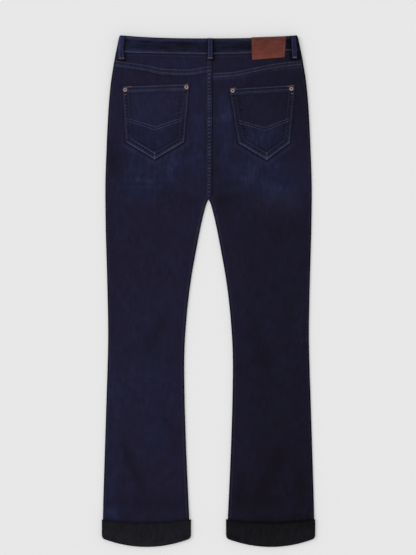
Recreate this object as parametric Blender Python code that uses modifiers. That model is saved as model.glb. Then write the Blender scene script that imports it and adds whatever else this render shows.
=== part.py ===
"""Bootcut jeans with turned-up hems, laid flat with the back up.

+X is the right-hand side of the back, +Y runs up to the waist and +Z is up. The front lies underneath and
rests on Z = 0. Sizes and tables are in millimetres. They become metres in one place, new_surface.
"""

import math
from collections import namedtuple

import bmesh
import bpy
import numpy as np
from mathutils import Vector

MM = 0.001

# The two faces and the two sides of the jeans
BACK, FRONT = 1, -1
LEFT, RIGHT = -1, 1
SIDE_NAMES = {LEFT: "left", RIGHT: "right"}

# Walls and gaps
CLOTH = 1.3  # stretch denim, brushed inside
BAND = 2.0  # waistband, two layers pressed together
BAND_PROUD = 0.5  # the waistband's face above the panel that it is sewn to
CUFF = 1.6  # turned-up hem with its stitched edge
POCKET = 1.6  # back pocket with its edges turned in
LOOP = 1.9  # belt loop, folded in three
LOOP_BOW = 0.5  # how far a belt loop's middle stands off the band
LEATHER = 1.2
SEAM = 0.3  # gap at each seam and under each laid piece

# Rolled edges, where the back turns round to the front
ROLL = 3.6  # width of the roll, from the outline in to the flat of the panel
RollStep = namedtuple("RollStep", "offset flat rise")
ROLL_STEPS = (  # shares of ROLL from the edge, rolled and opened flat, and share of the half thickness
    RollStep(0.0, 0.0, 0.0),
    RollStep(0.0, 0.15, 0.16),
    RollStep(0.18, 0.38, 0.57),
    RollStep(0.5, 0.65, 0.87),
    RollStep(1.0, 1.0, 1.0),
)
COARSE_ROLL = ROLL_STEPS[:2] + (RollStep(0.3, 0.5, 0.71), ROLL_STEPS[-1])

# Heights, measured up from the middle of the jeans' length
HEM = -563.0  # lowest point of the turned-up hem
SHIN = -440.0  # the leg comes out of its turned-up hem and lies flat from here up
CROTCH = 201.7
SEAT = 244.0
WAIST = 555.9  # top edge at the centre back
WAIST_SIDE = 563.0  # top edge at the sides
WAIST_HALF = 195.0  # half width there
FRONT_DROP = 12.0  # how much lower the front waist is at its centre

# Outline: height, then half width out to the side seam
SIDE_SEAM = (
    (563.0, 195.0),
    (556.5, 197.8),
    (541.0, 201.3),
    (508.0, 207.8),
    (455.0, 215.7),
    (403.0, 220.4),
    (323.0, 224.5),
    (218.0, 227.3),
    (139.0, 226.4),
    (59.0, 224.2),
    (-20.0, 222.1),
    (-99.0, 221.0),
    (-152.0, 222.0),
    (-231.0, 224.5),
    (-310.0, 227.0),
    (-389.0, 229.5),
    (-469.0, 231.9),
    (-502.0, 232.5),
)

# Outline: height, then distance from the centre line out to the inside leg seam
INSIDE_LEG = (
    (201.7, 0.0),
    (195.8, 3.2),
    (189.2, 5.5),
    (165.0, 12.0),
    (139.0, 17.8),
    (86.0, 28.0),
    (33.0, 37.4),
    (-20.0, 44.6),
    (-73.0, 49.6),
    (-125.0, 52.8),
    (-165.0, 53.6),
    (-231.0, 52.8),
    (-310.0, 50.6),
    (-389.0, 47.6),
    (-469.0, 43.9),
    (-502.0, 42.4),
)

# Turned-up hems
CUFF_OUTER = 234.85  # side edge, from the centre line
CUFF_INNER = 38.5
CUFF_TOP = -510.4  # top edge in the middle of the leg
CUFF_TOP_RISE = 7.7  # how much higher that edge is at its sides
HEM_RISE = 18.9  # how much the hem's bow lifts its sides
HEM_CORNER = 6.5
CUFF_DEPTH = 8.8  # outside, front to back
CUFF_SHARES = (0.83, 0.67, 0.5, 0.33, 0.17)  # of its width, where columns of points stand
CURL = 1.9  # outer radius of the fold along the hem
CURL_ANGLES = (0, 45, 90, 135, 180)  # degrees round that fold
CUFF_INSET = CUFF + SEAM  # how far the leg lies inside its turned-up hem
CURL_CLEAR = 4.6  # from the hem's lowest line up to the end of the leg inside it

# Levels: height, then the underside of the front and the top of the back
LEVELS = (
    (-563.0, CUFF_INSET, CUFF_DEPTH - CUFF_INSET),
    (-500.0, CUFF_INSET, CUFF_DEPTH - CUFF_INSET),
    (-462.0, 0.0, 5.9),
    (-420.0, 0.0, 5.6),
    (190.0, 0.0, 5.8),
    (300.0, 0.3, 6.3),
    (400.0, 1.4, 7.6),
    (480.0, 3.0, 9.2),
    (530.0, 3.9, 10.1),
    (563.0, 3.9, 10.1),
)

# Centre back seam: height, then how far it runs to the right of the centre line
CENTRE_BACK = (
    (201.7, 0.0),
    (280.0, 2.0),
    (354.0, 4.2),
    (563.0, 4.2),
)

# Waistband seam across the back: distance from the centre line, then height
BAND_SEAM = (
    (-206.0, 524.5),
    (-90.0, 521.5),
    (0.0, 520.0),
    (90.0, 522.0),
    (206.0, 529.5),
)

# Yoke seams: distance out from the centre line, then height on the left and on the right
YOKE_SEAM = (
    (0.0, 480.5, 468.5),
    (50.0, 473.5, 471.5),
    (100.0, 475.5, 481.0),
    (140.0, 483.5, 489.0),
    (206.0, 493.0, 497.5),
)

# Soft troughs pressed into the back. Lean is in degrees from level, and the rest is in millimetres.
Fold = namedtuple("Fold", "across height lean length width depth")
FOLDS = (
    Fold(-162.0, -383.0, 92.0, 75.0, 17.0, 1.2),
    Fold(-116.0, -92.0, 62.0, 55.0, 17.0, 1.0),
    Fold(-186.0, -160.0, 78.0, 45.0, 15.0, 0.9),
    Fold(-196.0, -440.0, 84.0, 35.0, 13.0, 0.8),
    Fold(-84.0, -300.0, 105.0, 60.0, 16.0, 0.7),
    Fold(70.0, -440.0, 86.0, 45.0, 14.0, 1.2),
    Fold(140.0, -398.0, 60.0, 65.0, 17.0, 1.0),
    Fold(203.0, -430.0, 97.0, 40.0, 13.0, 0.9),
    Fold(112.0, -120.0, 112.0, 55.0, 17.0, 0.9),
    Fold(182.0, -40.0, 74.0, 60.0, 16.0, 0.7),
    Fold(-58.0, 205.0, 168.0, 48.0, 13.0, 0.9),
    Fold(62.0, 207.0, 13.0, 50.0, 13.0, 0.9),
    Fold(-120.0, 246.0, 176.0, 62.0, 13.0, 0.6),
    Fold(122.0, 244.0, 5.0, 60.0, 13.0, 0.6),
)
FOLD_FADE = 14.0  # folds run out over this distance from the outline

# Back pockets: each corner's distance from the centre line and height
PocketShape = namedtuple("PocketShape", "top_inner top_outer low_outer point low_inner")
BACK_POCKETS = {
    LEFT: PocketShape(
        top_inner=(-42.1, 455.4),
        top_outer=(-189.3, 450.1),
        low_outer=(-182.3, 327.4),
        point=(-118.5, 288.9),
        low_inner=(-53.6, 327.4),
    ),
    RIGHT: PocketShape(
        top_inner=(45.7, 444.8),
        top_outer=(190.4, 453.6),
        low_outer=(179.0, 325.6),
        point=(128.2, 287.8),
        low_inner=(65.7, 324.9),
    ),
}

# Rivets at the pocket corners
RIVETS = {
    "rivet_left_outer": (-183.4, 442.9),
    "rivet_left_inner": (-48.5, 449.2),
    "rivet_right_inner": (52.9, 440.4),
    "rivet_right_outer": (182.1, 444.6),
}
RIVET_RADIUS = 4.9
RIVET_HEIGHT = 1.3
RIVET_PROFILE = (  # shares of radius and height, from the hollow in its middle out and round underneath
    (0.0, 0.46),
    (0.23, 0.46),
    (0.39, 1.0),
    (0.7, 1.0),
    (1.0, 0.4),
    (1.0, 0.0),
    (0.0, 0.0),
)

# Belt loops: face, the middle of the upper end and of the lower end
LOOP_WIDTH = 10.5
BeltLoop = namedtuple("BeltLoop", "name face upper lower")
BELT_LOOPS = (
    BeltLoop("belt_loop_centre", BACK, (4.2, 555.6), (4.2, 509.5)),
    BeltLoop("belt_loop_back_left", BACK, (-187.6, 561.6), (-192.4, 508.5)),
    BeltLoop("belt_loop_back_right", BACK, (185.4, 561.4), (188.8, 510.5)),
    BeltLoop("belt_loop_front_left", FRONT, (-96.0, 548.5), (-99.0, 502.0)),
    BeltLoop("belt_loop_front_right", FRONT, (96.0, 548.5), (99.0, 502.0)),
)

# Leather patch on the back waistband
PATCH_UPPER = ((94.1, 557.9), (170.4, 560.6))
PATCH_LOWER = ((95.8, 507.8), (167.3, 513.7))

# Front pocket scoops, each a quarter ellipse about the top of the side seam
SCOOP_WIDTH = 88.0
SCOOP_DROP = 68.0
SCOOP_TURN = 0.995  # share of its width where the scoop has come up to the waistband seam
FACING_MARGIN = 12.0  # how far the pocket facing runs on behind the front
FACING = 1.1
FACING_LOW = 9.0  # the facing stays behind the front this far into the scoop
FACING_EASE = 24.0  # then it comes up level with the seams over this distance

# Fly and waist fastening
FLY_LENGTH = 150.0
FLY_SHIELD_WIDTH = 42.0
FLY_SHIELD = 1.1
BAND_OVERLAP = {LEFT: 20.0, RIGHT: 15.0}  # how far each front band runs past the centre
UNDERLAP_START = 36.0  # the right band dips behind the left one from here
UNDERLAP_END = 24.0
BUTTON_RADIUS = 8.6
BUTTON_HEIGHT = 2.9
BUTTON_AT = (2.0, 526.0)
BUTTON_PROFILE = (  # shares of radius and height, from its face out over the rim and in to the cloth
    (0.0, 0.8),
    (0.5, 0.8),
    (0.62, 1.0),
    (0.85, 1.0),
    (1.0, 0.7),
    (0.9, 0.35),
    (0.55, 0.0),
    (0.0, 0.0),
)

# Shares of a panel's width where its columns of points stand
BACK_SHARES = (0.13, 0.27, 0.41, 0.55, 0.69, 0.84)
FRONT_SHARES = (0.1, 0.22, 0.4)  # as far out as the pocket scoop
BAND_SHARES = (0.2, 0.4, 0.6, 0.8)
LOOP_SHARES = (-0.5, -0.2, 0.2, 0.5)  # from a belt loop's middle line
SCOOP_ANGLES = (20, 42, 64)  # degrees round the scoop's quarter ellipse

# Rows of points up a panel
BACK_LEG_ROWS = 17  # from the shin to the crotch
FRONT_LEG_ROWS = 9
SHIN_ROWS = 4  # from the turned-up hem to the shin
SEAT_ROWS = 6  # from the seat to the yoke
FRONT_SEAT_ROWS = 5
NEAR_CROTCH = 12.0  # rows stand closer together from this far below the crotch
BACK_CROTCH_DROPS = (12.0, 6.0, 2.0, 0.0)
FRONT_CROTCH_DROPS = (12.0, 4.0, 0.0)
BACK_CROTCH_RISES = (0.06, 0.25, 0.6, 1.0)  # shares of ROLL above the crotch
FRONT_CROTCH_RISES = (0.1, 0.4, 1.0)
ABOVE_CROTCH = 16.0

# Round pieces and edges
ROUND_STEPS = 16
SHARP_ANGLE = 50  # degrees, the least turn that stays a sharp edge
WELD = 0.01

Finish = namedtuple("Finish", "colour roughness metallic")
DENIM = Finish((0.013, 0.012, 0.028), 0.85, 0.0)
DENIM_FADED = Finish((0.016, 0.016, 0.040), 0.85, 0.0)
BRUSHED_INSIDE = Finish((0.011, 0.011, 0.014), 0.95, 0.0)
LEATHER_BROWN = Finish((0.112, 0.033, 0.025), 0.55, 0.0)
COPPER = Finish((0.50, 0.36, 0.32), 0.35, 1.0)

Column = namedtuple("Column", "share offset flat rise")


def smooth_curve(table, column=1):
    """A curve through one column of a table that never overshoots its rows."""
    rows = sorted(table)
    at = np.array([row[0] for row in rows])
    value = np.array([row[column] for row in rows])
    step = np.diff(at)
    slope = np.diff(value) / step
    tangent = np.zeros(len(at))
    tangent[0], tangent[-1] = slope[0], slope[-1]
    for i in range(1, len(at) - 1):
        before, after = slope[i - 1], slope[i]
        if before * after > 0:
            near, far = 2 * step[i] + step[i - 1], step[i] + 2 * step[i - 1]
            tangent[i] = (near + far) / (near / before + far / after)

    def curve(where):
        where = min(max(where, at[0]), at[-1])
        i = min(int(np.searchsorted(at, where, side="right")) - 1, len(step) - 1)
        t = (where - at[i]) / step[i]
        bend = step[i] * (t * (1 - t) ** 2 * tangent[i] - t * t * (1 - t) * tangent[i + 1])
        return float(value[i] + (value[i + 1] - value[i]) * t * t * (3 - 2 * t) + bend)

    return curve


side_seam = smooth_curve(SIDE_SEAM)
inside_leg = smooth_curve(INSIDE_LEG)
underside = smooth_curve(LEVELS, 1)
topside = smooth_curve(LEVELS, 2)
centre_back = smooth_curve(CENTRE_BACK)
band_seam = smooth_curve(BAND_SEAM)
yoke_seams = {LEFT: smooth_curve(YOKE_SEAM, 1), RIGHT: smooth_curve(YOKE_SEAM, 2)}


def mix(a, b, share):
    return a + (b - a) * share


def ease(share):
    share = min(max(share, 0.0), 1.0)
    return share * share * (3 - 2 * share)


def quarter_round(share):
    """Height of a quarter circle, 0 at its edge and 1 at its crown."""
    share = min(max(share, 0.0), 1.0)
    return math.sqrt(1 - (1 - share) ** 2)


SCOOP_CORNER_Y = band_seam(WAIST_HALF)
SCOOP_CORNER_X = side_seam(SCOOP_CORNER_Y)


# Lines across the jeans: each gives its height at a distance x from the centre line.


def level(height):
    return lambda x: height


def moved(line, rise):
    return lambda x: line(x) + rise


def waist_edge(x):
    return min(WAIST + (WAIST_SIDE - WAIST) * (x / WAIST_HALF) ** 2, WAIST_SIDE)


def front_drop(x):
    share = min(abs(x) / side_seam(WAIST), 1.0)
    return FRONT_DROP * math.cos(0.5 * math.pi * share) ** 2


def front_band_seam(x):
    return band_seam(abs(x)) - front_drop(x)


def front_waist_edge(x):
    return waist_edge(x) - front_drop(x)


def across_leg(x):
    """-1 at the inside edge of the turned-up hem, 0 in the middle of the leg and 1 at the side."""
    return mix(-1, 1, (abs(x) - CUFF_INNER) / (CUFF_OUTER - CUFF_INNER))


def hem_line(x):
    """Lowest line of the turned-up hem, bowed down in the middle with rounded corners."""
    edge = 0.5 * (CUFF_OUTER - CUFF_INNER) * (1 - abs(across_leg(x)))
    corner = HEM_CORNER * (1 - quarter_round(edge / HEM_CORNER))
    return HEM + HEM_RISE * across_leg(x) ** 2 + corner


def cuff_line(x):
    return CUFF_TOP + CUFF_TOP_RISE * across_leg(x) ** 2


def scoop_line(x):
    """Edge of the front below the pocket scoop, and along the waistband seam further in."""
    share = (SCOOP_CORNER_X - abs(x)) / SCOOP_WIDTH
    if share > SCOOP_TURN:
        return front_band_seam(x)
    return SCOOP_CORNER_Y - SCOOP_DROP * math.sqrt(1 - max(share, 0.0) ** 2)


def inside_scoop(x, y):
    """How far a point lies inside the pocket scoop, from its curved edge."""
    across = (SCOOP_CORNER_X - abs(x)) / SCOOP_WIDTH
    down = (SCOOP_CORNER_Y - y) / SCOOP_DROP
    return (1 - math.hypot(across, down)) * SCOOP_DROP


def yoke_line(side):
    return lambda x: yoke_seams[side](side * x)


def even_shares(steps):
    return [i / steps for i in range(steps + 1)]


def lines_between(lower, upper, steps):
    """Lines spaced evenly from one line up towards another, without the last."""
    shares = even_shares(steps)[:-1]
    return [lambda x, share=share: mix(lower(x), upper(x), share) for share in shares]


# The surface of the jeans


def fold_depth(x, y):
    total = 0.0
    for fold in FOLDS:
        lean = math.radians(fold.lean)
        right, up = x - fold.across, y - fold.height
        along = right * math.cos(lean) + up * math.sin(lean)
        off = up * math.cos(lean) - right * math.sin(lean)
        total += fold.depth * math.exp(-((off / fold.width) ** 2) - (along / fold.length) ** 4)
    return total * ease(edge_distance(x, y) / FOLD_FADE)


def edge_distance(x, y):
    """How far a point lies inside the jeans' outline."""
    from_side = side_seam(y) - abs(x)
    if y < CROTCH:
        return min(from_side, abs(x) - inside_leg(y))
    return min(from_side, math.hypot(x, y - CROTCH))


def middle(y):
    return 0.5 * (underside(y) + topside(y))


def half_depth(y):
    return 0.5 * (topside(y) - underside(y))


def surface(face, x, y, rise, proud=0.0):
    """Height of a face's outside. Rise is 0 at the side seam's level and 1 on the flat."""
    lift = SEAM / 2 + (half_depth(y) + proud - SEAM / 2) * rise
    if face == BACK:
        lift -= fold_depth(x, y)
    return middle(y) + face * lift


def laid_point(face, x, y, lift):
    """A point moved straight out from the face of the jeans."""

    def height(px, py):
        return surface(face, px, py, quarter_round(edge_distance(px, py) / ROLL))

    reach = 0.5
    slope_x = (height(x + reach, y) - height(x - reach, y)) / (2 * reach)
    slope_y = (height(x, y + reach) - height(x, y - reach)) / (2 * reach)
    out = Vector((-slope_x, -slope_y, 1.0)).normalized() * face
    return Vector((x, y, height(x, y))) + out * lift


def crotch_roll(y):
    """1 where a panel's inner edge is rolled, below the crotch, and 0 where it lies flat above it."""
    return 1 - quarter_round((y - CROTCH) / ROLL)


def columns_across(shares, outer=ROLL_STEPS, inner=ROLL_STEPS[:1]):
    """Columns of a panel, from its inner edge out to its side."""
    found = [Column(0.0, step.offset, step.flat, step.rise) for step in inner]
    found += [Column(share, 0.0, 0.0, 1.0) for share in shares]
    return found + [Column(1.0, step.offset, 0.0, step.rise) for step in reversed(outer)]


def panel_point(face, side, column, line, inner_edge, proud=0.0):
    """One point of a panel: its column's place across the width, on a line."""
    y = line(side * WAIST_HALF)
    for _ in range(5):  # the width depends on the height and the height on the place across
        start, end = inner_edge(y), side_seam(y)
        curl = crotch_roll(y)
        out = mix(start, end, column.share)
        rise = column.rise
        if column.share == 0.0:
            out += ROLL * mix(column.flat, column.offset, curl)
            rise = mix(1.0, rise, curl)
        elif column.share == 1.0:
            out -= ROLL * column.offset
        y = line(side * out)
    return Vector((side * out, y, surface(face, side * out, y, rise, proud)))


def back_inner_edge(side):
    """Inner edge of a back panel: the inside leg, then the centre back seam."""

    def edge(y):
        if y < CROTCH:
            return max(inside_leg(y), SEAM / 2)
        return SEAM / 2 + side * centre_back(y)

    return edge


def front_inner_edge(y):
    return max(inside_leg(y), SEAM / 2) if y < CROTCH else SEAM / 2


# Making the pieces


def new_material(name, finish):
    material = bpy.data.materials.new(name)
    material.use_nodes = True
    shader = material.node_tree.nodes["Principled BSDF"]
    shader.inputs["Base Color"].default_value = (*finish.colour, 1.0)
    shader.inputs["Roughness"].default_value = finish.roughness
    shader.inputs["Metallic"].default_value = finish.metallic
    material.diffuse_color = (*finish.colour, 1.0)
    material.roughness = finish.roughness
    material.metallic = finish.metallic
    return material


def new_piece(name, mesh, finish):
    mesh.materials.append(new_material(name, finish))
    mesh.shade_smooth()
    mesh.set_sharp_from_angle(angle=math.radians(SHARP_ANGLE))
    piece = bpy.data.objects.new(name, mesh)
    jeans.objects.link(piece)
    return piece


def new_surface(name, place, columns, lines, finish, wall, turned=False, ring=False):
    """A wall whose outside passes through place(column, line), thickened inwards."""
    shape = bmesh.new()
    bmesh.ops.create_grid(shape, x_segments=len(columns) - 1, y_segments=len(lines) - 1, size=1.0)
    shape.verts.ensure_lookup_table()
    for i, vertex in enumerate(shape.verts):
        vertex.co = Vector(place(columns[i % len(columns)], lines[i // len(columns)])) * MM
    if turned:
        bmesh.ops.reverse_faces(shape, faces=shape.faces)
    if ring:
        bmesh.ops.remove_doubles(shape, verts=shape.verts, dist=WELD * MM)
    mesh = bpy.data.meshes.new(name)
    shape.to_mesh(mesh)
    shape.free()
    piece = new_piece(name, mesh, finish)
    thicken = piece.modifiers.new("wall", "SOLIDIFY")
    thicken.thickness = wall * MM
    thicken.offset = -1.0
    return piece


def new_turned(name, profile, radius, height, at, face):
    """A round metal piece: a profile in shares of its radius and height, turned and set on a face."""
    mesh = bpy.data.meshes.new(name)
    points = [(out * radius * MM, 0.0, up * height * MM) for out, up in profile]
    mesh.from_pydata(points, [(i, i + 1) for i in range(len(points) - 1)], [])
    piece = new_piece(name, mesh, COPPER)
    turn = piece.modifiers.new("turn", "SCREW")
    turn.steps = turn.render_steps = ROUND_STEPS
    turn.use_merge_vertices = True
    turn.merge_threshold = WELD * MM
    piece.location = Vector(at) * MM
    if face == FRONT:
        piece.rotation_euler.x = math.pi
    return piece


def build_back(side):
    """One back leg panel, from inside the hem up to the yoke."""
    columns = columns_across(BACK_SHARES, inner=ROLL_STEPS)
    leg_end = moved(hem_line, CURL_CLEAR)
    yoke = moved(yoke_line(side), -SEAM / 2)
    lines = lines_between(leg_end, cuff_line, 2)
    lines += lines_between(cuff_line, level(SHIN), SHIN_ROWS)
    lines += lines_between(level(SHIN), level(CROTCH - NEAR_CROTCH), BACK_LEG_ROWS)
    lines += [level(CROTCH - drop) for drop in BACK_CROTCH_DROPS]
    lines += [level(CROTCH + ROLL * rise) for rise in BACK_CROTCH_RISES]
    lines += [level(CROTCH + ABOVE_CROTCH)]
    lines += lines_between(level(SEAT), yoke, SEAT_ROWS) + [yoke]
    edge = back_inner_edge(side)
    return new_surface(
        f"back_{SIDE_NAMES[side]}",
        lambda column, line: panel_point(BACK, side, column, line, edge),
        columns,
        lines,
        DENIM,
        CLOTH,
        turned=side == LEFT,
    )


def build_yoke(side):
    """The shaped piece between a back panel and the waistband."""
    lower = moved(yoke_line(side), SEAM / 2)
    upper = moved(band_seam, -SEAM / 2)
    edge = back_inner_edge(side)
    return new_surface(
        f"yoke_{SIDE_NAMES[side]}",
        lambda column, line: panel_point(BACK, side, column, line, edge),
        columns_across(BACK_SHARES, inner=(ROLL_STEPS[0], ROLL_STEPS[-1])),
        lines_between(lower, upper, 2) + [upper],
        DENIM,
        CLOTH,
        turned=side == LEFT,
    )


def front_shares():
    """Shares of a front panel's width, closer together where the scoop turns."""
    scoop_start = 1 - SCOOP_WIDTH / SCOOP_CORNER_X
    turns = [math.cos(math.radians(angle)) for angle in (0,) + SCOOP_ANGLES]
    return list(FRONT_SHARES) + [1 - (1 - scoop_start) * turn for turn in turns]


def build_front(side):
    """One front leg panel, cut away at the top for the pocket scoop."""
    columns = columns_across(front_shares(), outer=COARSE_ROLL, inner=COARSE_ROLL)
    leg_end = moved(hem_line, CURL_CLEAR)
    top = moved(scoop_line, -SEAM / 2)
    lines = [leg_end]
    lines += lines_between(cuff_line, level(SHIN), SHIN_ROWS)
    lines += lines_between(level(SHIN), level(CROTCH - NEAR_CROTCH), FRONT_LEG_ROWS)
    lines += [level(CROTCH - drop) for drop in FRONT_CROTCH_DROPS]
    lines += [level(CROTCH + ROLL * rise) for rise in FRONT_CROTCH_RISES]
    lines += lines_between(level(SEAT), top, FRONT_SEAT_ROWS) + [top]
    return new_surface(
        f"front_{SIDE_NAMES[side]}",
        lambda column, line: panel_point(FRONT, side, column, line, front_inner_edge),
        columns,
        lines,
        DENIM,
        CLOTH,
        turned=side == RIGHT,
    )


def build_pocket_facing(side):
    """The cloth that shows in a front pocket's scoop and runs on a little behind the front."""
    inner_x = SCOOP_CORNER_X - SCOOP_WIDTH - FACING_MARGIN
    upper = moved(front_band_seam, -SEAM / 2)
    lower = moved(front_band_seam, -SCOOP_DROP - FACING_MARGIN)

    def point(column, line):
        spot = panel_point(FRONT, side, column, line, level(inner_x))
        risen = ease((inside_scoop(spot.x, spot.y) - FACING_LOW) / FACING_EASE)
        sink = (CLOTH + SEAM) * (1 - risen)
        if column.share == 1.0:
            spot.x -= side * sink * (1 - column.offset)
            sink *= column.rise
        spot.z += sink
        return spot

    return new_surface(
        f"pocket_facing_{SIDE_NAMES[side]}",
        point,
        columns_across(BAND_SHARES, outer=COARSE_ROLL),
        lines_between(lower, upper, 5) + [upper],
        DENIM,
        FACING,
        turned=side == RIGHT,
    )


def build_fly_shield():
    """The strip behind the closed fly."""
    upper = moved(front_band_seam, -SEAM / 2)
    half = FLY_SHIELD_WIDTH / 2

    def point(x, line):
        y = line(x)
        return x, y, surface(FRONT, x, y, 1.0) + CLOTH + SEAM

    return new_surface(
        "fly_shield",
        point,
        [-half, 0.0, half],
        lines_between(moved(upper, -FLY_LENGTH), upper, 4) + [upper],
        DENIM,
        FLY_SHIELD,
        turned=True,
    )


def build_back_waistband():
    lower = moved(band_seam, SEAM / 2)
    halves = [(LEFT, column) for column in reversed(columns_across(BAND_SHARES)[1:])]
    halves += [(RIGHT, column) for column in columns_across(BAND_SHARES)]

    def point(column, line):
        side, across = column
        return panel_point(BACK, side, across, line, lambda y: side * centre_back(y), BAND_PROUD)

    return new_surface(
        "waistband_back",
        point,
        halves,
        lines_between(lower, waist_edge, 2) + [waist_edge],
        DENIM,
        BAND,
    )


def build_front_waistband(side):
    """Half of the front waistband. The left end lies over the right one, as the button holds them."""
    lower = moved(front_band_seam, SEAM / 2)
    start = -BAND_OVERLAP[side]
    places = [share * SCOOP_CORNER_X for share in front_shares()]
    if side == RIGHT:
        places += [UNDERLAP_END, UNDERLAP_START]
    shares = [(place - start) / (SCOOP_CORNER_X - start) for place in sorted(places)]

    def point(column, line):
        spot = panel_point(FRONT, side, column, line, level(start), BAND_PROUD)
        if side == RIGHT:
            span = UNDERLAP_START - UNDERLAP_END
            spot.z += (BAND + SEAM) * ease((UNDERLAP_START - spot.x) / span)
        return spot

    return new_surface(
        f"waistband_front_{SIDE_NAMES[side]}",
        point,
        columns_across(shares, outer=COARSE_ROLL),
        lines_between(lower, front_waist_edge, 2) + [front_waist_edge],
        DENIM,
        BAND,
        turned=side == RIGHT,
    )


def build_cuff(side):
    """A turned-up hem: a flattened ring round the leg, folded in along its lower edge."""
    half = CUFF_DEPTH / 2
    over = [(1.0, -step.offset, step.rise) for step in (ROLL_STEPS[0],) + ROLL_STEPS[2:]]
    over += [(share, 0.0, 1.0) for share in CUFF_SHARES]
    over += [(0.0, step.offset, step.rise) for step in reversed(ROLL_STEPS[2:])]
    under = [(share, offset, -rise) for share, offset, rise in reversed(over[1:])]
    around = over + [(0.0, 0.0, 0.0)] + under + over[:1]
    fold = []
    for angle in map(math.radians, CURL_ANGLES):
        fold.append((CURL * (1 - math.cos(angle)), CURL * (1 - math.sin(angle))))
    rows = [(0.0, cuff_line), (0.0, lambda x: mix(cuff_line(x), hem_line(x), 0.5))]
    rows += [(inset, moved(hem_line, rise)) for inset, rise in fold]

    def point(spot, row):
        share, offset, rise = spot
        inset, line = row
        out = mix(CUFF_INNER + inset, CUFF_OUTER - inset, share) + offset * (half - inset)
        return side * out, line(out), half + (half - inset) * rise

    return new_surface(
        f"cuff_{SIDE_NAMES[side]}",
        point,
        around,
        rows,
        BRUSHED_INSIDE,
        CUFF,
        turned=side == LEFT,
        ring=True,
    )


def build_back_pocket(side):
    """A patch pocket, pointed at the bottom, laid on the back panel."""
    corners = {name: Vector(corner) for name, corner in BACK_POCKETS[side]._asdict().items()}

    def point(across, up):
        top = corners["top_inner"].lerp(corners["top_outer"], across)
        if across < 0.5:
            low = corners["low_inner"].lerp(corners["point"], 2 * across)
        else:
            low = corners["point"].lerp(corners["low_outer"], 2 * across - 1)
        return laid_point(BACK, *low.lerp(top, up), SEAM + POCKET)

    return new_surface(
        f"back_pocket_{SIDE_NAMES[side]}",
        point,
        even_shares(8),
        even_shares(4),
        DENIM_FADED,
        POCKET,
        turned=side == LEFT,
    )


def build_rivet(name, x, y):
    """A round rivet with a hollow in its middle, on the pocket's face."""
    at = laid_point(BACK, x, y, SEAM + POCKET + SEAM)
    return new_turned(name, RIVET_PROFILE, RIVET_RADIUS, RIVET_HEIGHT, at, BACK)


def build_belt_loop(loop):
    """A narrow strip over the waistband, sewn at both ends and a little bowed between them."""
    upper, lower = Vector(loop.upper), Vector(loop.lower)

    def point(across, along):
        middle_line = lower.lerp(upper, along)
        bow = LOOP_BOW * math.sin(math.pi * along)
        lift = BAND_PROUD + SEAM + bow + LOOP
        return laid_point(loop.face, middle_line.x + across * LOOP_WIDTH, middle_line.y, lift)

    return new_surface(
        loop.name,
        point,
        LOOP_SHARES,
        even_shares(6),
        DENIM_FADED,
        LOOP,
        turned=loop.face == FRONT,
    )


def build_patch():
    """The plain leather patch on the waistband."""

    def point(across, up):
        low = Vector(PATCH_LOWER[0]).lerp(Vector(PATCH_LOWER[1]), across)
        top = Vector(PATCH_UPPER[0]).lerp(Vector(PATCH_UPPER[1]), across)
        return laid_point(BACK, *low.lerp(top, up), BAND_PROUD + SEAM + LEATHER)

    return new_surface(
        "leather_patch", point, even_shares(4), even_shares(4), LEATHER_BROWN, LEATHER
    )


def build_button():
    """The waist button's head, under the front waistband."""
    x, y = BUTTON_AT
    at = (x, y, surface(FRONT, x, y, 1.0, BAND_PROUD) - SEAM)
    return new_turned("waist_button", BUTTON_PROFILE, BUTTON_RADIUS, BUTTON_HEIGHT, at, FRONT)


for leftover in list(bpy.data.objects):
    bpy.data.objects.remove(leftover, do_unlink=True)

jeans = bpy.data.collections.new("bootcut_jeans")
bpy.context.scene.collection.children.link(jeans)

for each_side in (LEFT, RIGHT):
    build_back(each_side)
    build_yoke(each_side)
    build_front(each_side)
    build_pocket_facing(each_side)
    build_front_waistband(each_side)
    build_cuff(each_side)
    build_back_pocket(each_side)
build_fly_shield()
build_back_waistband()
build_patch()
build_button()
for each_loop in BELT_LOOPS:
    build_belt_loop(each_loop)
for rivet_name, (rivet_x, rivet_y) in RIVETS.items():
    build_rivet(rivet_name, rivet_x, rivet_y)
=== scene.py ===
"""Bootcut jeans with turned-up hems, laid flat with the back up: the finish of every piece.

Sizes, places and tables are in millimetres in the model's own frame. +X is the right-hand side of the back,
+Y runs up to the waist and +Z is up from the floor. They become metres where a mesh is made.
"""

import math
from collections import namedtuple

import bmesh
import bpy
import numpy as np
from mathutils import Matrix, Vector


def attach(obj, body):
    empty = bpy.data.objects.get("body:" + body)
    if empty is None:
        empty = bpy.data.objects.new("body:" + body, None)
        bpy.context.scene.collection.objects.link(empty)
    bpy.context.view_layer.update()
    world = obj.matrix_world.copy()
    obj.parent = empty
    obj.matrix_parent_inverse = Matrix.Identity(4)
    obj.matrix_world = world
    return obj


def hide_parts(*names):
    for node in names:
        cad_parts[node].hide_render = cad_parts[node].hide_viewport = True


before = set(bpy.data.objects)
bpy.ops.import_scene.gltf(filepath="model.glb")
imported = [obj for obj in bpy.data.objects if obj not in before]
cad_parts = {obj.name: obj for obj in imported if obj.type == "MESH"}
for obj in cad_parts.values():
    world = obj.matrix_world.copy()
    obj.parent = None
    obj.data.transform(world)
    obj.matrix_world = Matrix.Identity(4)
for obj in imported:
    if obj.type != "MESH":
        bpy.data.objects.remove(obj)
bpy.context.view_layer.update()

MM = 0.001

# The two faces and the two sides of the jeans
BACK, FRONT = 1, -1
LEFT, RIGHT = -1, 1
SIDE_NAMES = {LEFT: "left", RIGHT: "right"}

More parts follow.
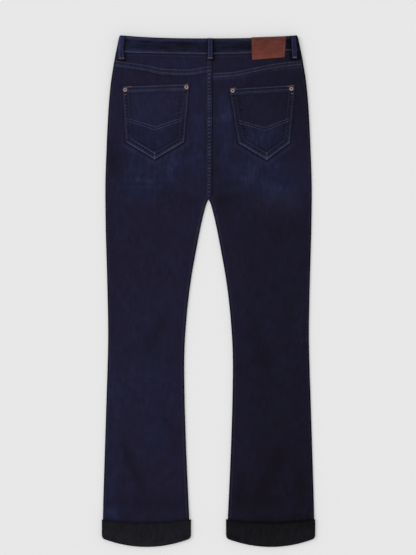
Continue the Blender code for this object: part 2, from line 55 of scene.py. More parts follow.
# Walls and gaps
CLOTH = 1.3
BAND = 2.0
BAND_PROUD = 0.5
CUFF = 1.6
POCKET = 1.6
LOOP = 1.9
LOOP_BOW = 0.5
LEATHER = 1.2
FACING = 1.1
CLOSE = 0.04  # gap between pieces that are sewn together
LAID = 0.12  # gap under a piece that is sewn flat on another
ROLL = 3.6  # width of the roll where the back turns round to the front

# Heights, measured up from the middle of the jeans' length
HEM = -563.0
SHIN = -440.0
CROTCH = 201.7
SEAT = 244.0
WAIST = 555.3
WAIST_SIDE = 562.3
WAIST_HALF = 195.0
WAIST_BOW = 2.6
FRONT_DROP = 12.0

# Outline: height, then half width out to the side seam
SIDE_SEAM = (
    (563.0, 194.3),
    (556.5, 197.0),
    (541.0, 200.4),
    (508.0, 207.0),
    (455.0, 215.3),
    (403.0, 220.0),
    (323.0, 224.2),
    (218.0, 227.3),
    (139.0, 226.4),
    (59.0, 224.2),
    (-20.0, 222.1),
    (-99.0, 221.0),
    (-152.0, 222.0),
    (-231.0, 224.5),
    (-310.0, 227.0),
    (-389.0, 229.5),
    (-469.0, 231.9),
    (-502.0, 232.5),
)

# Outline: height, then distance from the centre line out to the inside leg seam
INSIDE_LEG = (
    (201.7, 0.0),
    (195.8, 3.2),
    (189.2, 5.5),
    (165.0, 12.0),
    (139.0, 17.8),
    (86.0, 28.0),
    (33.0, 37.4),
    (-20.0, 44.6),
    (-73.0, 49.6),
    (-125.0, 52.8),
    (-165.0, 53.6),
    (-231.0, 52.8),
    (-310.0, 50.6),
    (-389.0, 47.6),
    (-469.0, 43.9),
    (-502.0, 42.4),
)

# Turned-up hems
CUFF_HEIGHT = 45.0
# Painted shade: the right turned-up hem is darker, as the right leg is
CUFF_PAINTED_SHADE = {LEFT: 0.0, RIGHT: 1.0}  # the right one is darker
CUFF_OUTER = 234.85
CUFF_INNER = 38.5
CUFF_TOP = -510.4
CUFF_TOP_RISE = 7.7
HEM_RISE = 18.9
HEM_CORNER = 6.5
CUFF_DEPTH = 8.8
CURL = 1.9
CURL_CLEAR = 4.6
CUFF_INSET = 1.9

# Levels: height, then the underside of the front and the top of the back
LEVELS = (
    (-563.0, CUFF_INSET, CUFF_DEPTH - CUFF_INSET),
    (-500.0, CUFF_INSET, CUFF_DEPTH - CUFF_INSET),
    (-462.0, 0.0, 5.9),
    (-420.0, 0.0, 5.6),
    (190.0, 0.0, 5.8),
    (300.0, 0.3, 6.3),
    (400.0, 1.4, 7.6),
    (480.0, 3.0, 9.2),
    (530.0, 3.9, 10.1),
    (563.0, 3.9, 10.1),
)

# Centre back seam: height, then how far it runs to the right of the centre line
CENTRE_BACK = ((201.7, 0.0), (206.5, 4.6), (216.0, 6.3), (250.0, 6.9), (376.0, 7.2), (563.0, 7.2))

# Waistband seam across the back: distance from the centre line, then height
BAND_SEAM = ((-206.0, 524.5), (-90.0, 521.5), (0.0, 520.0), (90.0, 522.0), (206.0, 529.5))

# Yoke seams: distance out from the centre line, then height on the left and on the right
YOKE_SEAM = (
    (0.0, 480.5, 468.5),
    (50.0, 473.5, 471.5),
    (100.0, 475.5, 481.0),
    (140.0, 483.5, 489.0),
    (206.0, 493.0, 497.5),
)


def rows_of(kind, *rows):
    """A table whose rows are all of one kind."""
    return tuple(kind(*row) for row in rows)


# Creases: the middle of each, its lean in degrees from level, half length, half width and depth. A depth
# below 0 is a ridge.
Crease = namedtuple("Crease", "across height lean length width depth")
MAIN_CREASES = rows_of(
    Crease,
    (-165, -390, 112, 60, 9.5, 1.4),
    (-116, -92, 62, 55, 17, 1),
    (-186, -160, 78, 45, 15, 0.9),
    (-196, -440, 84, 35, 13, 0.8),
    (-84, -300, 105, 60, 16, 0.7),
    (70, -440, 86, 45, 14, 1.2),
    (140, -398, 60, 65, 17, 1),
    (203, -430, 97, 40, 13, 0.9),
    (112, -120, 112, 55, 17, 0.9),
    (182, -40, 74, 60, 16, 0.7),
    (-58, 205, 168, 48, 13, 0.9),
    (62, 207, 13, 50, 13, 0.9),
    (-120, 246, 176, 62, 13, 0.6),
    (122, 244, 5, 60, 13, 0.6),
)
# Finer ones on the back
FINE_CREASES = rows_of(
    Crease,
    (-60, 222, 163, 40, 6, -0.5),
    (-66, 183, 158, 46, 6, 0.45),
    (-92, 166, 150, 38, 7, -0.35),
    (64, 226, 18, 38, 6, -0.5),
    (70, 186, 24, 44, 6, 0.45),
    (98, 168, 31, 36, 7, -0.35),
    (-150, 229, 4, 52, 6, -0.4),
    (-172, 208, 172, 34, 6, 0.35),
    (150, 226, 178, 50, 6, -0.4),
    (176, 204, 9, 36, 6, 0.35),
    (-136, -22, 15, 38, 8, 0.35),
    (-96, -46, 158, 34, 7, -0.3),
    (-170, -104, 168, 30, 7, 0.35),
    (-128, -151, 22, 36, 8, 0.35),
    (-198, -250, 96, 60, 8, 0.4),
    (-132, -312, 83, 48, 7, -0.4),
    (-148, -430, 64, 38, 8, 0.5),
    (-120, -474, 30, 30, 7, 0.4),
    (-70, -448, 102, 40, 7, -0.4),
    (-212, -478, 88, 26, 5, -0.5),
    (138, -30, 166, 40, 8, 0.3),
    (94, -64, 20, 34, 7, -0.3),
    (168, -132, 12, 34, 8, 0.35),
    (196, -236, 84, 56, 8, 0.4),
    (104, -286, 98, 52, 7, -0.4),
    (162, -330, 76, 40, 7, 0.4),
    (106, -462, 72, 34, 8, 0.5),
    (176, -474, 118, 30, 7, -0.4),
    (90, -484, 96, 22, 5, 0.4),
)
# Creases on the front, which lies underneath: like those of the back, in other places
FRONT_CREASES = rows_of(
    Crease,
    (62, 258, 27, 46, 9, 0.8),
    (58, 234, 19, 40, 7.5, 0.6),
    (120, 284, 16, 40, 8, 0.5),
    (-60, 256, 155, 48, 9, 0.8),
    (-66, 229, 163, 42, 8, 0.6),
    (-124, 280, 166, 36, 8, 0.5),
    (126, -96, 8, 50, 10, 0.8),
    (118, -131, 171, 44, 9, 0.7),
    (-131, -88, 174, 52, 10, 0.8),
    (-122, -134, 7, 42, 9, 0.6),
    (152, -330, 78, 62, 12, 0.5),
    (-118, -352, 99, 54, 12, 0.5),
    (-170, -300, 82, 58, 11, 0.4),
)
FOLD_FADE = 14.0  # creases and ripples die away over this distance from the outline

# Zones of another colour: the middle, half width, half length and strength of each. These washed paler.
Zone = namedtuple("Zone", "across height half_width half_length strength")
FADES = rows_of(
    Zone,
    (-124, 254, 44, 26, 0.44),
    (-163, 266, 22, 22, 0.36),
    (-160, 244, 66, 5, 0.26),
    (-150, 228, 50, 4, 0.22),
    (-80, 259, 15, 24, 0.46),
    (-118, 215, 70, 18, 0.26),
    (-136, 288, 30, 10, 0.24),
    (-158, 308, 34, 12, 0.36),
    (-164, 204, 30, 14, 0.16),
    (-88, 292, 20, 8, 0.25),
    (-150, -300, 70, 90, 0.09),
    (-24, 330, 18, 104, 0.42),
    (-60, 286, 26, 26, 0.34),
    (-34, 444, 20, 30, 0.26),
    (-196, 494, 16, 5, 0.25),
    (-60, 503, 24, 10, 0.22),
    (-120, 500, 90, 14, 0.18),
    (100, 505, 70, 14, 0.22),
    (-208, 380, 12, 70, 0.16),
    (38, 356, 22, 90, 0.58),
    (86, 256, 36, 30, 0.60),
    (150, 238, 42, 28, 0.52),
    (122, 282, 42, 18, 0.40),
    (194, 232, 20, 30, 0.12),
    (-137, -185, 66, 48, 0.20),
    (-204, -150, 22, 46, 0.12),
    (-140, -70, 80, 70, 0.14),
    (-212, -240, 18, 80, 0.16),
    (-209, -492, 18, 20, 0.46),
    (-212, -420, 15, 60, 0.20),
    (-90, -300, 26, 60, 0.11),
    (150, -70, 70, 80, 0.12),
    (128, -336, 60, 9, 0.12),
)
# Zones that have kept more dye
DYED = rows_of(
    Zone,
    (66, -170, 26, 70, 0.10),
    (-158, -404, 12, 22, 0.13),
    (-184, -366, 6, 36, 0.24),
    (-190, -469, 14, 5, 0.18),
    (17, 320, 6, 100, 0.30),
    (46, 206, 26, 26, 0.24),
    (28, 200, 15, 50, 0.30),
    (57, 246, 14, 24, 0.30),
    (-208, 292, 18, 28, 0.80),
    (57, -462, 9, 26, 0.24),
    (110, -462, 60, 16, 0.36),
    (-120, -132, 70, 16, 0.12),
    (-134, -468, 70, 16, 0.40),
    (-164, -466, 18, 14, 0.25),
    (-64, -464, 24, 24, 0.42),
    (-110, -470, 60, 60, 0.10),
    (200, 400, 14, 60, 0.25),
)
# Zones where rubbing has brought out the pale core of the yarn
POCKET_RUBBED = rows_of(Zone, (122, 336, 38, 22, 0.03), (120, 395, 50, 30, 0.012))
RUBBED = rows_of(
    Zone,
    (140, 200, 38, 24, 0.085),
    (186, 196, 22, 24, 0.050),
    (70, 214, 30, 16, 0.020),
    (96, 250, 40, 28, 0.030),
    (-185, -175, 42, 42, 0.030),
    (-205, -262, 24, 60, 0.024),
    (-206, -418, 16, 34, 0.024),
    (190, -30, 30, 64, 0.018),
    (66, 30, 16, 32, 0.026),
)
# Zones of the front that have washed paler: the thighs and shins, and below the fly
FRONT_FADES = rows_of(
    Zone,
    (128, 72, 44, 130, 0.30),
    (-131, 66, 46, 136, 0.30),
    (134, -150, 40, 60, 0.16),
    (-136, -144, 42, 64, 0.16),
    (70, 262, 50, 16, 0.14),
    (-72, 258, 50, 16, 0.14),
)

# Zones of the back pockets that have washed paler, or darker where the strength is below 0
POCKET_FADES = {
    LEFT: rows_of(
        Zone,
        (-110, 350, 32, 22, 0.38),
        (-124, 314, 42, 20, 0.26),
        (-78, 432, 20, 12, -0.12),
        (-150, 392, 26, 26, 0.20),
        (-176, 338, 12, 14, 0.35),
    ),
    RIGHT: rows_of(
        Zone,
        (122, 340, 34, 20, 0.30),
        (86, 336, 18, 30, 0.24),
        (154, 408, 28, 22, -0.06),
    ),
}

# How much painted shade darkens the right leg, as under a light from the left: height, then share
RIGHT_SHADE = (
    (-490.0, 1.10),
    (-273.0, 0.92),
    (-97.0, 0.74),
    (90.0, 0.68),
    (170.0, 0.56),
    (215.0, 0.28),
    (262.0, 0.22),
    (330.0, 0.42),
    (400.0, 0.55),
    (560.0, 0.62),
)
RIGHT_SHADE_START = -20.0
RIGHT_SHADE_END = 130.0

# How evenly the wash has taken: the plain cloth's share, then how much blotches and ridges change it. Ridges
# are paler partly from wear and partly from painted light.
FADE_PLAIN = 0.1
FADE_UNEVEN = 0.44
FADE_BLOTCHES = 0.08
FADE_RIDGES = 0.13

# How much darker the troughs of creases are, from dye kept there and from painted shade, how much painted shade
# darkens the rim where the cloth rolls away, and how far in the rim starts to fall away
TROUGH_DYE_AND_PAINTED_SHADE = 0.34
RIM_PAINTED_SHADE = 2.2
RIM_START = 1.5
RIM_FALL = 2.0
# The dark rim is painted shade
RIM_HIP = 1.2  # how much wider the dark rim is on the right hip
# The shadow here is painted shade
DARKEST = 2.4  # the most that dye and shadow together may take

# Back pockets: each corner's distance from the centre line and height
PocketShape = namedtuple("PocketShape", "top_inner top_outer low_outer point low_inner")
BACK_POCKETS = {
    LEFT: PocketShape(
        top_inner=(-42.1, 455.4),
        top_outer=(-189.3, 450.1),
        low_outer=(-182.3, 327.4),
        point=(-118.5, 288.9),
        low_inner=(-53.6, 327.4),
    ),
    RIGHT: PocketShape(
        top_inner=(45.7, 444.8),
        top_outer=(190.4, 453.6),
        low_outer=(179.0, 325.6),
        point=(128.2, 287.8),
        low_inner=(65.7, 324.9),
    ),
}
POCKET_HEM = 13.4  # depth of the hem along a pocket's top
POCKET_TURNING = 14.0  # cloth turned in along its other edges
POCKET_HEM_ROWS = (2.8, 9.4)  # rows of stitching, in from the edge
POCKET_EDGE_ROWS = (2.0, 11.6)
POCKET_SIZE = 140.0  # about its width and its height
BRIGHT_ARMS = {LEFT: 1, RIGHT: 0}  # arms of the point where the inner row of stitching stands out
POCKET_CHEVRON = (0.40, 0.44)  # two plain rows that follow the pocket's point, as shares of its height

RIVETS = {
    "rivet_left_outer": (-183.4, 442.2),
    "rivet_left_inner": (-48.5, 447.8),
    "rivet_right_inner": (52.9, 440.4),
    "rivet_right_outer": (182.1, 444.6),
}
RIVET_RADIUS = 4.9
RIVET_HEIGHT = 1.3

# Belt loops
LOOP_LENGTH = 50.0
LOOP_ROWS = 2.1  # rows of stitching, in from a loop's edges

# Each loop's face, width, the middle of the upper end and of the lower end, how far it bends to the right,
# the strength of its painted shadow, how strongly that spreads to the left, and how much narrower its bartack
# is
BeltLoop = namedtuple("BeltLoop", "name face width upper lower bend shadow spread tack_inset")
BELT_LOOPS = (
    BeltLoop("belt_loop_centre", BACK, 11.4, (3.5, 555.6), (3.5, 509.5), 0.0, 1.0, 0.0, 0.6),
    BeltLoop("belt_loop_back_left", BACK, 13.0, (-189.0, 561.2), (-190.6, 508.5), -3.2, 0.85, 0.0, 0.6),
    BeltLoop("belt_loop_back_right", BACK, 12.0, (186.2, 561.0), (189.4, 510.5), 0.8, 0.95, 1.1, 5.0),
    BeltLoop("belt_loop_front_left", FRONT, 10.5, (-96.0, 548.5), (-99.0, 502.0), -0.8, 0.0, 0.0, 0.6),
    BeltLoop("belt_loop_front_right", FRONT, 10.5, (96.0, 548.5), (99.0, 502.0), 1.0, 0.0, 0.0, 0.6),
)

# The leather patch: the left and right ends of its upper and lower edges, and where it is sewn
PATCH_UPPER = ((94.1, 557.4), (170.4, 560.2))
PATCH_LOWER = ((95.8, 507.8), (167.3, 513.7))
PATCH_BORDER = 3.2
PATCH_WIDTH = 76.0
PATCH_HEIGHT = 49.0

# Front pocket scoops, each a quarter ellipse about the top of the side seam
SCOOP_WIDTH = 88.0
SCOOP_DROP = 68.0
SCOOP_TURN = 0.995
SCOOP_RIDGE = 9.6
SCOOP_ROWS = (2.0, 8.0)
FACING_MARGIN = 12.0
FACING_LOW = 9.0
FACING_EASE = 24.0

# Fly and waist fastening
FLY_LENGTH = 150.0
FLY_SHIELD = 1.1
FLY_SHIELD_WIDTH = 42.0
FLY_WIDTH = 38.0
FLY_CURVE = 46.0  # height over which the fly's rows curve in to the centre
FLY_ROWS = (0.0, 5.5)
BAND_OVERLAP = {LEFT: 20.0, RIGHT: 15.0}
UNDERLAP_START = 36.0
UNDERLAP_END = 24.0
BUTTON_RADIUS = 8.6
BUTTON_HEIGHT = 2.9
BUTTON_AT = (2.0, 526.0)
BUTTONHOLE_SHIFT = 3.0
BUTTONHOLE_RADII = (13.5, 2.6)
BUTTONHOLE_DEPTH = 2.2

# Felled seams and the small lumps that sewing draws up beside every seam
RIDGE = 0.75
RIDGE_FALL = 1.6
YOKE_RIDGE = {LEFT: 13.8, RIGHT: 11.0}
YOKE_ROWS = {LEFT: (4.6, 12.0), RIGHT: (1.6, 8.2)}
CENTRE_RIDGE = 10.6
CENTRE_ROWS = (2.4, 8.1)
INSEAM_START = 1.5  # the inside leg seam's edge, in from the outline
INSEAM_RIDGE = 6.4
INSEAM_ROWS = (4.4,)
OUTSEAM_START = 3.6
# Strength of the painted shadow that each yoke casts on the back panel below it
YOKE_SHADOW = {LEFT: 0.9, RIGHT: 0.1}
CENTRE_ROPE = {LEFT: 2.0, RIGHT: 0.6}
BAND_ROW = 1.8
BAND_ROW_HALF = 199.0
BAND_TOP_ROW = 2.8
BAND_TOP_ROW_HALF = 192.6
PUCKER = 0.24  # height of the lumps
PUCKER_LENGTH = 9.0
PUCKER_REACH = 6.5
FINE_PUCKER_LENGTH = 4.3
ROPE = 0.16  # slanting ripples that a shrunk seam twists itself into
ROPE_PITCH = 7.7
ROPE_SLANT = 0.12
ROPE_DRIFT = 38.0  # length over which their spacing wanders
# The ripples' crests are rubbed paler, and their troughs darker with kept dye and painted shade
ROPE_WEAR = 0.26
ROPE_SHADE = 0.95

# Lines that run along an edge: how far in from it, half width and strength. Most names end in what changes
# there:
# wear and fade are paler, shade is painted shade, darker where a raised edge shadows the cloth or the cloth
# rolls away, highlight is painted highlight and sink is lower, in millimetres. The others say where the thing
# that they are named for shows.
Line = namedtuple("Line", "at half_width strength")
ROW_SINK = Line(0.0, 0.8, 0.12)
ROW_WEAR = Line(0.0, 1.3, 0.17)
RIDGE_EDGE_WEAR = Line(0.7, 1.1, 1.0)
RIDGE_FOOT_WEAR = Line(-1.0, 1.0, 0.12)
RIDGE_FOOT_SHADE = Line(1.2, 1.4, 0.42)
RIDGE_MIDDLE_SHADE = Line(0.0, 1.8, 0.3)
NEIGHBOUR_SHADE = (Line(0.9, 1.4, 1.0), Line(0.0, 6.0, 0.18))
RIM_HIGHLIGHT = Line(4.2, 1.2, 0.16)
INSIDE_LEG_SOFTER = Line(0.0, 14.0, 0.55)
SPINE_WEAR = Line(6.2, 2.4, 0.11)
SPINE_SHADE = Line(2.0, 2.6, 0.6)
CROSSING_WEAR = Line(6.0, 5.0, 0.25)
CROSSING_SHADE = Line(3.0, 4.0, 0.6)
YOKE_TOP_WEAR = Line(4.2, 1.5, 0.13)
YOKE_ROW_WEAR = Line(0.0, 1.3, 0.1)
YOKE_EDGE_WEAR = Line(3.2, 2.4, 0.08)
BELOW_YOKE_WEAR = Line(3.0, 3.0, 0.09)
ABOVE_CUFF_SHADE = (Line(0.8, 3.2, 0.95), Line(0.0, 14.0, 0.3))
LOOP_SHADE_LEFT = Line(0.0, 2.6, 1.8)
LOOP_SHADE_RIGHT = (Line(0.0, 4.0, 1.1), Line(0.0, 9.0, 1.2))
LOOP_SHADE_SPREAD = Line(3.0, 8.0, 1.0)
LOOP_ROW_WEAR = Line(3.6, 1.4, 0.06)
LOOP_EDGE_SHADE = Line(0.0, 1.1, 0.9)
LOOP_ROW_SINK = Line(LOOP_ROWS, 0.8, 0.15)
BAND_LOW_WEAR = Line(2.2, 2.3, 1.0)
BAND_TOP_WEAR = Line(5.2, 1.9, 0.1)
BAND_TUCKS = Line(7.0, 5.0, 1.0)
BAND_EDGE_SHADE = Line(0.0, 1.9, 2.2)
BAND_ROW_SHADE = Line(6.0, 1.5, 0.3)
BAND_TOP_FADE = Line(5.2, 2.2, 0.36)
BAND_LOW_FADE = Line(3.0, 3.0, 0.2)
CUFF_HEM_WEAR = Line(3.6, 1.8, 0.3)
CUFF_HEM_SHADE = Line(0.0, 2.0, 0.7)
CUFF_SIDE_SHADE = Line(0.0, 2.0, 1.0)
CUFF_TOP_SHADE = (Line(0.0, 2.2, 0.9), Line(0.0, 17.0, 0.5))
CUFF_CORNER_SHADE = (Line(6.4, 1.4, 0.8), Line(11.5, 1.6, 0.5))
CUFF_HEM_SINK = Line(7.0, 3.0, 0.16)
POCKET_ROW_SINK = Line(0.0, 0.8, 0.14)
POCKET_LUMPS = Line(6.0, 5.0, 0.16)
POCKET_LADDER = Line(7.0, 3.4, 1.0)
POCKET_MITRE = Line(0.0, 1.7, 1.0)
POCKET_INNER_ROW = Line(11.9, 1.6, 1.0)
POCKET_TURNING_WEAR = Line(5.4, 2.6, 1.0)
POCKET_HEM_WEAR = (Line(1.4, 1.3, 0.2), Line(12.6, 1.9, 0.22))
POCKET_LOW_SHADE = (Line(8.6, 1.1, 1.8), Line(15.8, 1.8, 0.9))
POCKET_SIDE_SHADE = Line(15.4, 2.2, 0.35)
POCKET_PULLED = Line(15.0, 7.0, 1.0)
POCKET_HEM_SHADE = Line(16.0, 1.6, 0.9)
POCKET_HEM_DIP_SHADE = Line(6.0, 2.0, 0.25)
BESIDE_POCKET_SHADE = Line(0.0, 2.3, 1.0)
ABOVE_POCKET_SHADE = Line(0.0, 1.8, 0.4)
BELOW_POCKET_WEAR = Line(7.6, 3.4, 0.10)
PATCH_ROW_SINK = Line(PATCH_BORDER, 1.0, 0.22)
PATCH_EDGE_SINK = Line(0.0, 0.9, 0.25)
PATCH_EDGE_WEAR = Line(0.0, 1.2, 0.6)

# Stitches
STITCH = 3.05  # length of thread that shows
STITCH_PITCH = 3.4
THREAD = 0.75  # width
HEAVY_THREAD = 0.95  # width in the two plain rows on each pocket
THREAD_DEPTH = 0.7  # share of its width
BARTACK_THREAD = 0.7
BARTACK_PITCH = 0.62
BARTACK_DEPTH = 2.0

# Bartacks: centre, length and lean in degrees
Bartack = namedtuple("Bartack", "across height length lean")
POCKET_BARTACKS = {
    LEFT: (
        Bartack(-177.2, 448.2, 15.0, 13.0),
        Bartack(-183.4, 431.8, 5.0, 10.0),
        Bartack(-49.6, 453.4, 11.0, 20.0),
    ),
    RIGHT: (
        Bartack(53.8, 445.4, 11.0, 3.0),
        Bartack(180.0, 450.4, 12.0, 10.0),
        Bartack(183.6, 434.4, 5.0, -8.0),
    ),
}

# How far apart the points of a leg panel stand along it: in the hem, on the leg, at the crotch, on the seat
# and along the top edge. Then how far above the crotch the seat starts, its length and the top edge's depth.
Spacing = namedtuple("Spacing", "hem leg crotch seat edge above_crotch length margin")
BACK_SPACING = Spacing(9.0, 3.4, 1.6, 1.9, 1.6, 5.6, 220.0, 13.0)
FRONT_SPACING = Spacing(15.0, 6.0, 3.0, 6.0, 2.0, 8.0, 245.0, 10.0)
SHIN_LENGTH = 70.0  # from the turned-up hem
BELOW_CROTCH = 12.0
UNROLLING = (0.0, 0.06, 0.18, 0.36, 0.6, 1.0)  # shares of the rolled edge's height, above the crotch
YOKE_MARGIN = 12.0
YOKE_HEIGHT = 34.0
BAND_MARGIN = 5.0
BAND_HEIGHT = 26.0
GRID = 3.4  # across the back
BACK_WIDTH = 196.0
YOKE_WIDTH = 205.0
BAND_WIDTH = 200.0
FRONT_BAND_WIDTH = 220.0
FACING_WIDTH = 96.0
ROLL_ANGLES = (0, 14, 28, 42, 57, 73, 90)
NEAR_EDGE = (4.3, 5.1, 6.0, 7.0, 7.9, 8.7, 9.5, 10.6, 12.2)
MARGIN = 14.6

# The studio: what the photo's frame spans at the jeans, the camera above it and the light
PHOTO_HEIGHT = 1221.0
PHOTO_CENTRE = (-1.2, 29.7)
CAMERA_DISTANCE = 4200.0
CAMERA_REACH = (100.0, 60000.0)  # the nearest and the farthest that it sees
SENSOR = 36.0
VIEW_LEVEL = 6.0  # height of the jeans that the frame is fitted to
FLOOR_HALF = 9000.0
FLOOR_GAP = 0.2  # below the jeans
FLOOR_SHADE = 0.80
ROOM_LIGHT = 0.48
# Each lamp's strength and softness, and how far it leans to the right and towards the waist, in degrees
LAMPS = {
    "overhead": (1.2, 40.0, 0.0, 0.0),
    "key": (0.6, 30.0, -40.0, 15.0),
}


# Curves and noise


def mix(a, b, share):
    return a + (b - a) * share


def ease(share):
    share = np.clip(share, 0.0, 1.0)
    return share * share * (3 - 2 * share)


def quarter_round(share):
    """Height of a quarter circle, 0 at its edge and 1 at its crown."""
    return np.sqrt(1 - (1 - np.clip(share, 0.0, 1.0)) ** 2)


def ramp(value, start, end):
    """0 before the start, 1 past the end and eased between. The end may be the lower of the two."""
    return ease((value - start) / (end - start))


def bell(distance, width):
    """1 on a line, falling away on both sides."""
    return np.exp(-((distance / width) ** 2))


def drawn(distance, *lines):
    """How strongly some lines show at a distance in from their edge."""
    return sum(line.strength * bell(distance - line.at, line.half_width) for line in lines)


def smooth_curve(table, column=1):
    """A curve through one column of a table that never overshoots its rows."""
    at, value = np.array(sorted((row[0], row[column]) for row in table)).T
    step = np.diff(at)
    slope = np.diff(value) / step
    tangent = np.zeros(len(at))
    tangent[0], tangent[-1] = slope[0], slope[-1]
    for i in range(1, len(at) - 1):
        before, after = slope[i - 1], slope[i]
        if before * after > 0:
            near, far = 2 * step[i] + step[i - 1], step[i] + 2 * step[i - 1]
            tangent[i] = (near + far) / (near / before + far / after)

    def curve(where):
        where = np.clip(where, at[0], at[-1])
        i = np.clip(np.searchsorted(at, where, side="right") - 1, 0, len(step) - 1)
        t = (where - at[i]) / step[i]
        bend = step[i] * (t * (1 - t) ** 2 * tangent[i] - t * t * (1 - t) * tangent[i + 1])
        return value[i] + (value[i + 1] - value[i]) * t * t * (3 - 2 * t) + bend

    return curve


def smooth_noise(x, y, seed, cells=89):
    """Seeded noise from -1 to 1, one lump to each unit: x / 25 gives lumps that are 25 mm wide."""
    table = np.random.default_rng(seed).uniform(-1, 1, (cells, cells))
    x, y = np.broadcast_arrays(np.asarray(x, float), np.asarray(y, float))
    x, y = x * math.cos(seed) - y * math.sin(seed), x * math.sin(seed) + y * math.cos(seed)
    left, low = np.floor(x).astype(int), np.floor(y).astype(int)
    across, up = ease(x - left), ease(y - low)

    def corner(i, j):
        return table[(low + j) % cells, (left + i) % cells]

    return mix(mix(corner(0, 0), corner(1, 0), across), mix(corner(0, 1), corner(1, 1), across), up)


side_seam = smooth_curve(SIDE_SEAM)
inside_leg = smooth_curve(INSIDE_LEG)
underside = smooth_curve(LEVELS, 1)
topside = smooth_curve(LEVELS, 2)
centre_back = smooth_curve(CENTRE_BACK)
band_seam = smooth_curve(BAND_SEAM)
right_shade = smooth_curve(RIGHT_SHADE)
yoke_seams = {LEFT: smooth_curve(YOKE_SEAM, 1), RIGHT: smooth_curve(YOKE_SEAM, 2)}
SCOOP_CORNER_Y = float(band_seam(WAIST_HALF))
SCOOP_CORNER_X = float(side_seam(SCOOP_CORNER_Y))


# Lines across the jeans: each gives its height at a distance x from the centre line.


def level(height):
    """A level line."""
    return lambda x: np.full(np.shape(x), float(height))


def moved(line, rise):
    """A line moved up."""
    return lambda x: line(x) + rise


def waist_edge(x):
    return np.minimum(WAIST + (WAIST_SIDE - WAIST) * np.abs(x / WAIST_HALF) ** WAIST_BOW, WAIST_SIDE)


def front_drop(x):
    share = np.minimum(np.abs(x) / side_seam(WAIST), 1.0)
    return FRONT_DROP * np.cos(0.5 * np.pi * share) ** 2


def front_band_seam(x):
    return band_seam(np.abs(x)) - front_drop(x)


def front_waist_edge(x):
    return waist_edge(x) - front_drop(x)


def across_leg(x):
    """-1 at the inside edge of the turned-up hem, 0 in the middle of the leg and 1 at the side."""
    return mix(-1, 1, (np.abs(x) - CUFF_INNER) / (CUFF_OUTER - CUFF_INNER))


def hem_line(x):
    """Lowest line of the turned-up hem, bowed down in the middle with rounded corners."""
    edge = 0.5 * (CUFF_OUTER - CUFF_INNER) * (1 - np.abs(across_leg(x)))
    corner = HEM_CORNER * (1 - quarter_round(edge / HEM_CORNER))
    return HEM + HEM_RISE * across_leg(x) ** 2 + corner


def cuff_line(x):
    return CUFF_TOP + CUFF_TOP_RISE * across_leg(x) ** 2


def scoop_line(x):
    """Edge of the front below the pocket scoop, and along the waistband seam further in."""
    share = (SCOOP_CORNER_X - np.abs(x)) / SCOOP_WIDTH
    curve = SCOOP_CORNER_Y - SCOOP_DROP * np.sqrt(1 - np.clip(share, 0.0, 1.0) ** 2)
    return np.where(share > SCOOP_TURN, front_band_seam(x), curve)


def inside_scoop(x, y):
    """How far a point lies inside the pocket scoop, from its curved edge."""
    across = (SCOOP_CORNER_X - np.abs(x)) / SCOOP_WIDTH
    down = (SCOOP_CORNER_Y - y) / SCOOP_DROP
    return (1 - np.hypot(across, down)) * SCOOP_DROP


def yoke_line(side):
    return lambda x: yoke_seams[side](side * x)


def lines_between(lower, upper, step, span):
    """Lines from one line up towards another, about a step apart over a span, without the last."""
    count = max(1, round(span / step))
    return [lambda x, share=i / count: mix(lower(x), upper(x), share) for i in range(count)]


# The surface of the jeans


def crease_depth(x, y, creases):
    """How deep some creases are together. Each fades softly across and ends more suddenly."""
    total = np.zeros(np.broadcast(x, y).shape)
    for crease in creases:
        lean = math.radians(crease.lean)
        right, up = x - crease.across, y - crease.height
        along = right * math.cos(lean) + up * math.sin(lean)
        off = up * math.cos(lean) - right * math.sin(lean)
        total += crease.depth * np.exp(-((off / crease.width) ** 2) - (along / crease.length) ** 4)
    return total


def edge_distance(x, y):
    """How far a point lies inside the jeans' outline."""
    from_side = side_seam(y) - np.abs(x)
    from_crotch = np.where(y < CROTCH, np.abs(x) - inside_leg(y), np.hypot(x, y - CROTCH))
    return np.minimum(from_side, from_crotch)


def relief(x, y):
    """How far the back stands off its flat form away from the seams: soft ripples and creases."""
    ripples = 0.30 * smooth_noise(x / 31, y / 74, 3) + 0.13 * smooth_noise(x / 12, y / 25, 5)
    creases = crease_depth(x, y, MAIN_CREASES + FINE_CREASES)
    return (ripples - creases) * ease(edge_distance(x, y) / FOLD_FADE)


def front_troughs(x, y):
    """How deep the creases of the front are."""
    return crease_depth(x, y, FRONT_CREASES) * ease(edge_distance(x, y) / FOLD_FADE)


def middle(y):
    """Level at which the back and the front meet at the side seams."""
    return 0.5 * (underside(y) + topside(y))


def surface(face, x, y, rise=1.0, proud=0.0):
    """Height of a face's outside. Rise is 0 at the side seam's level and 1 on the flat."""
    lift = CLOSE / 2 + (0.5 * (topside(y) - underside(y)) + proud - CLOSE / 2) * rise
    if face == BACK:
        lift = lift + relief(x, y) * rise
    else:
        lift = lift - front_troughs(x, y) * rise
    return middle(y) + face * lift


def flat_rise(x, y):
    """The rise of a place on a leg panel, for surface()."""
    return quarter_round(edge_distance(x, y) / ROLL)


def laid_on(face, lift):
    """Height of a piece that lies on a face of the jeans."""
    return lambda x, y: surface(face, x, y, flat_rise(x, y)) + face * lift


def crotch_roll(y):
    """1 where a panel's inner edge is rolled, below the crotch, and 0 where it lies flat above it."""
    return 1 - quarter_round((y - CROTCH) / ROLL)


# Wear and washing


def in_zones(x, y, zones):
    """How strongly some zones show together."""
    total = np.zeros(np.broadcast(x, y).shape)
    for zone in zones:
        across = (x - zone.across) / zone.half_width
        up = (y - zone.height) / zone.half_length
        total += zone.strength * np.exp(-(across**2) - up**2)
    return total


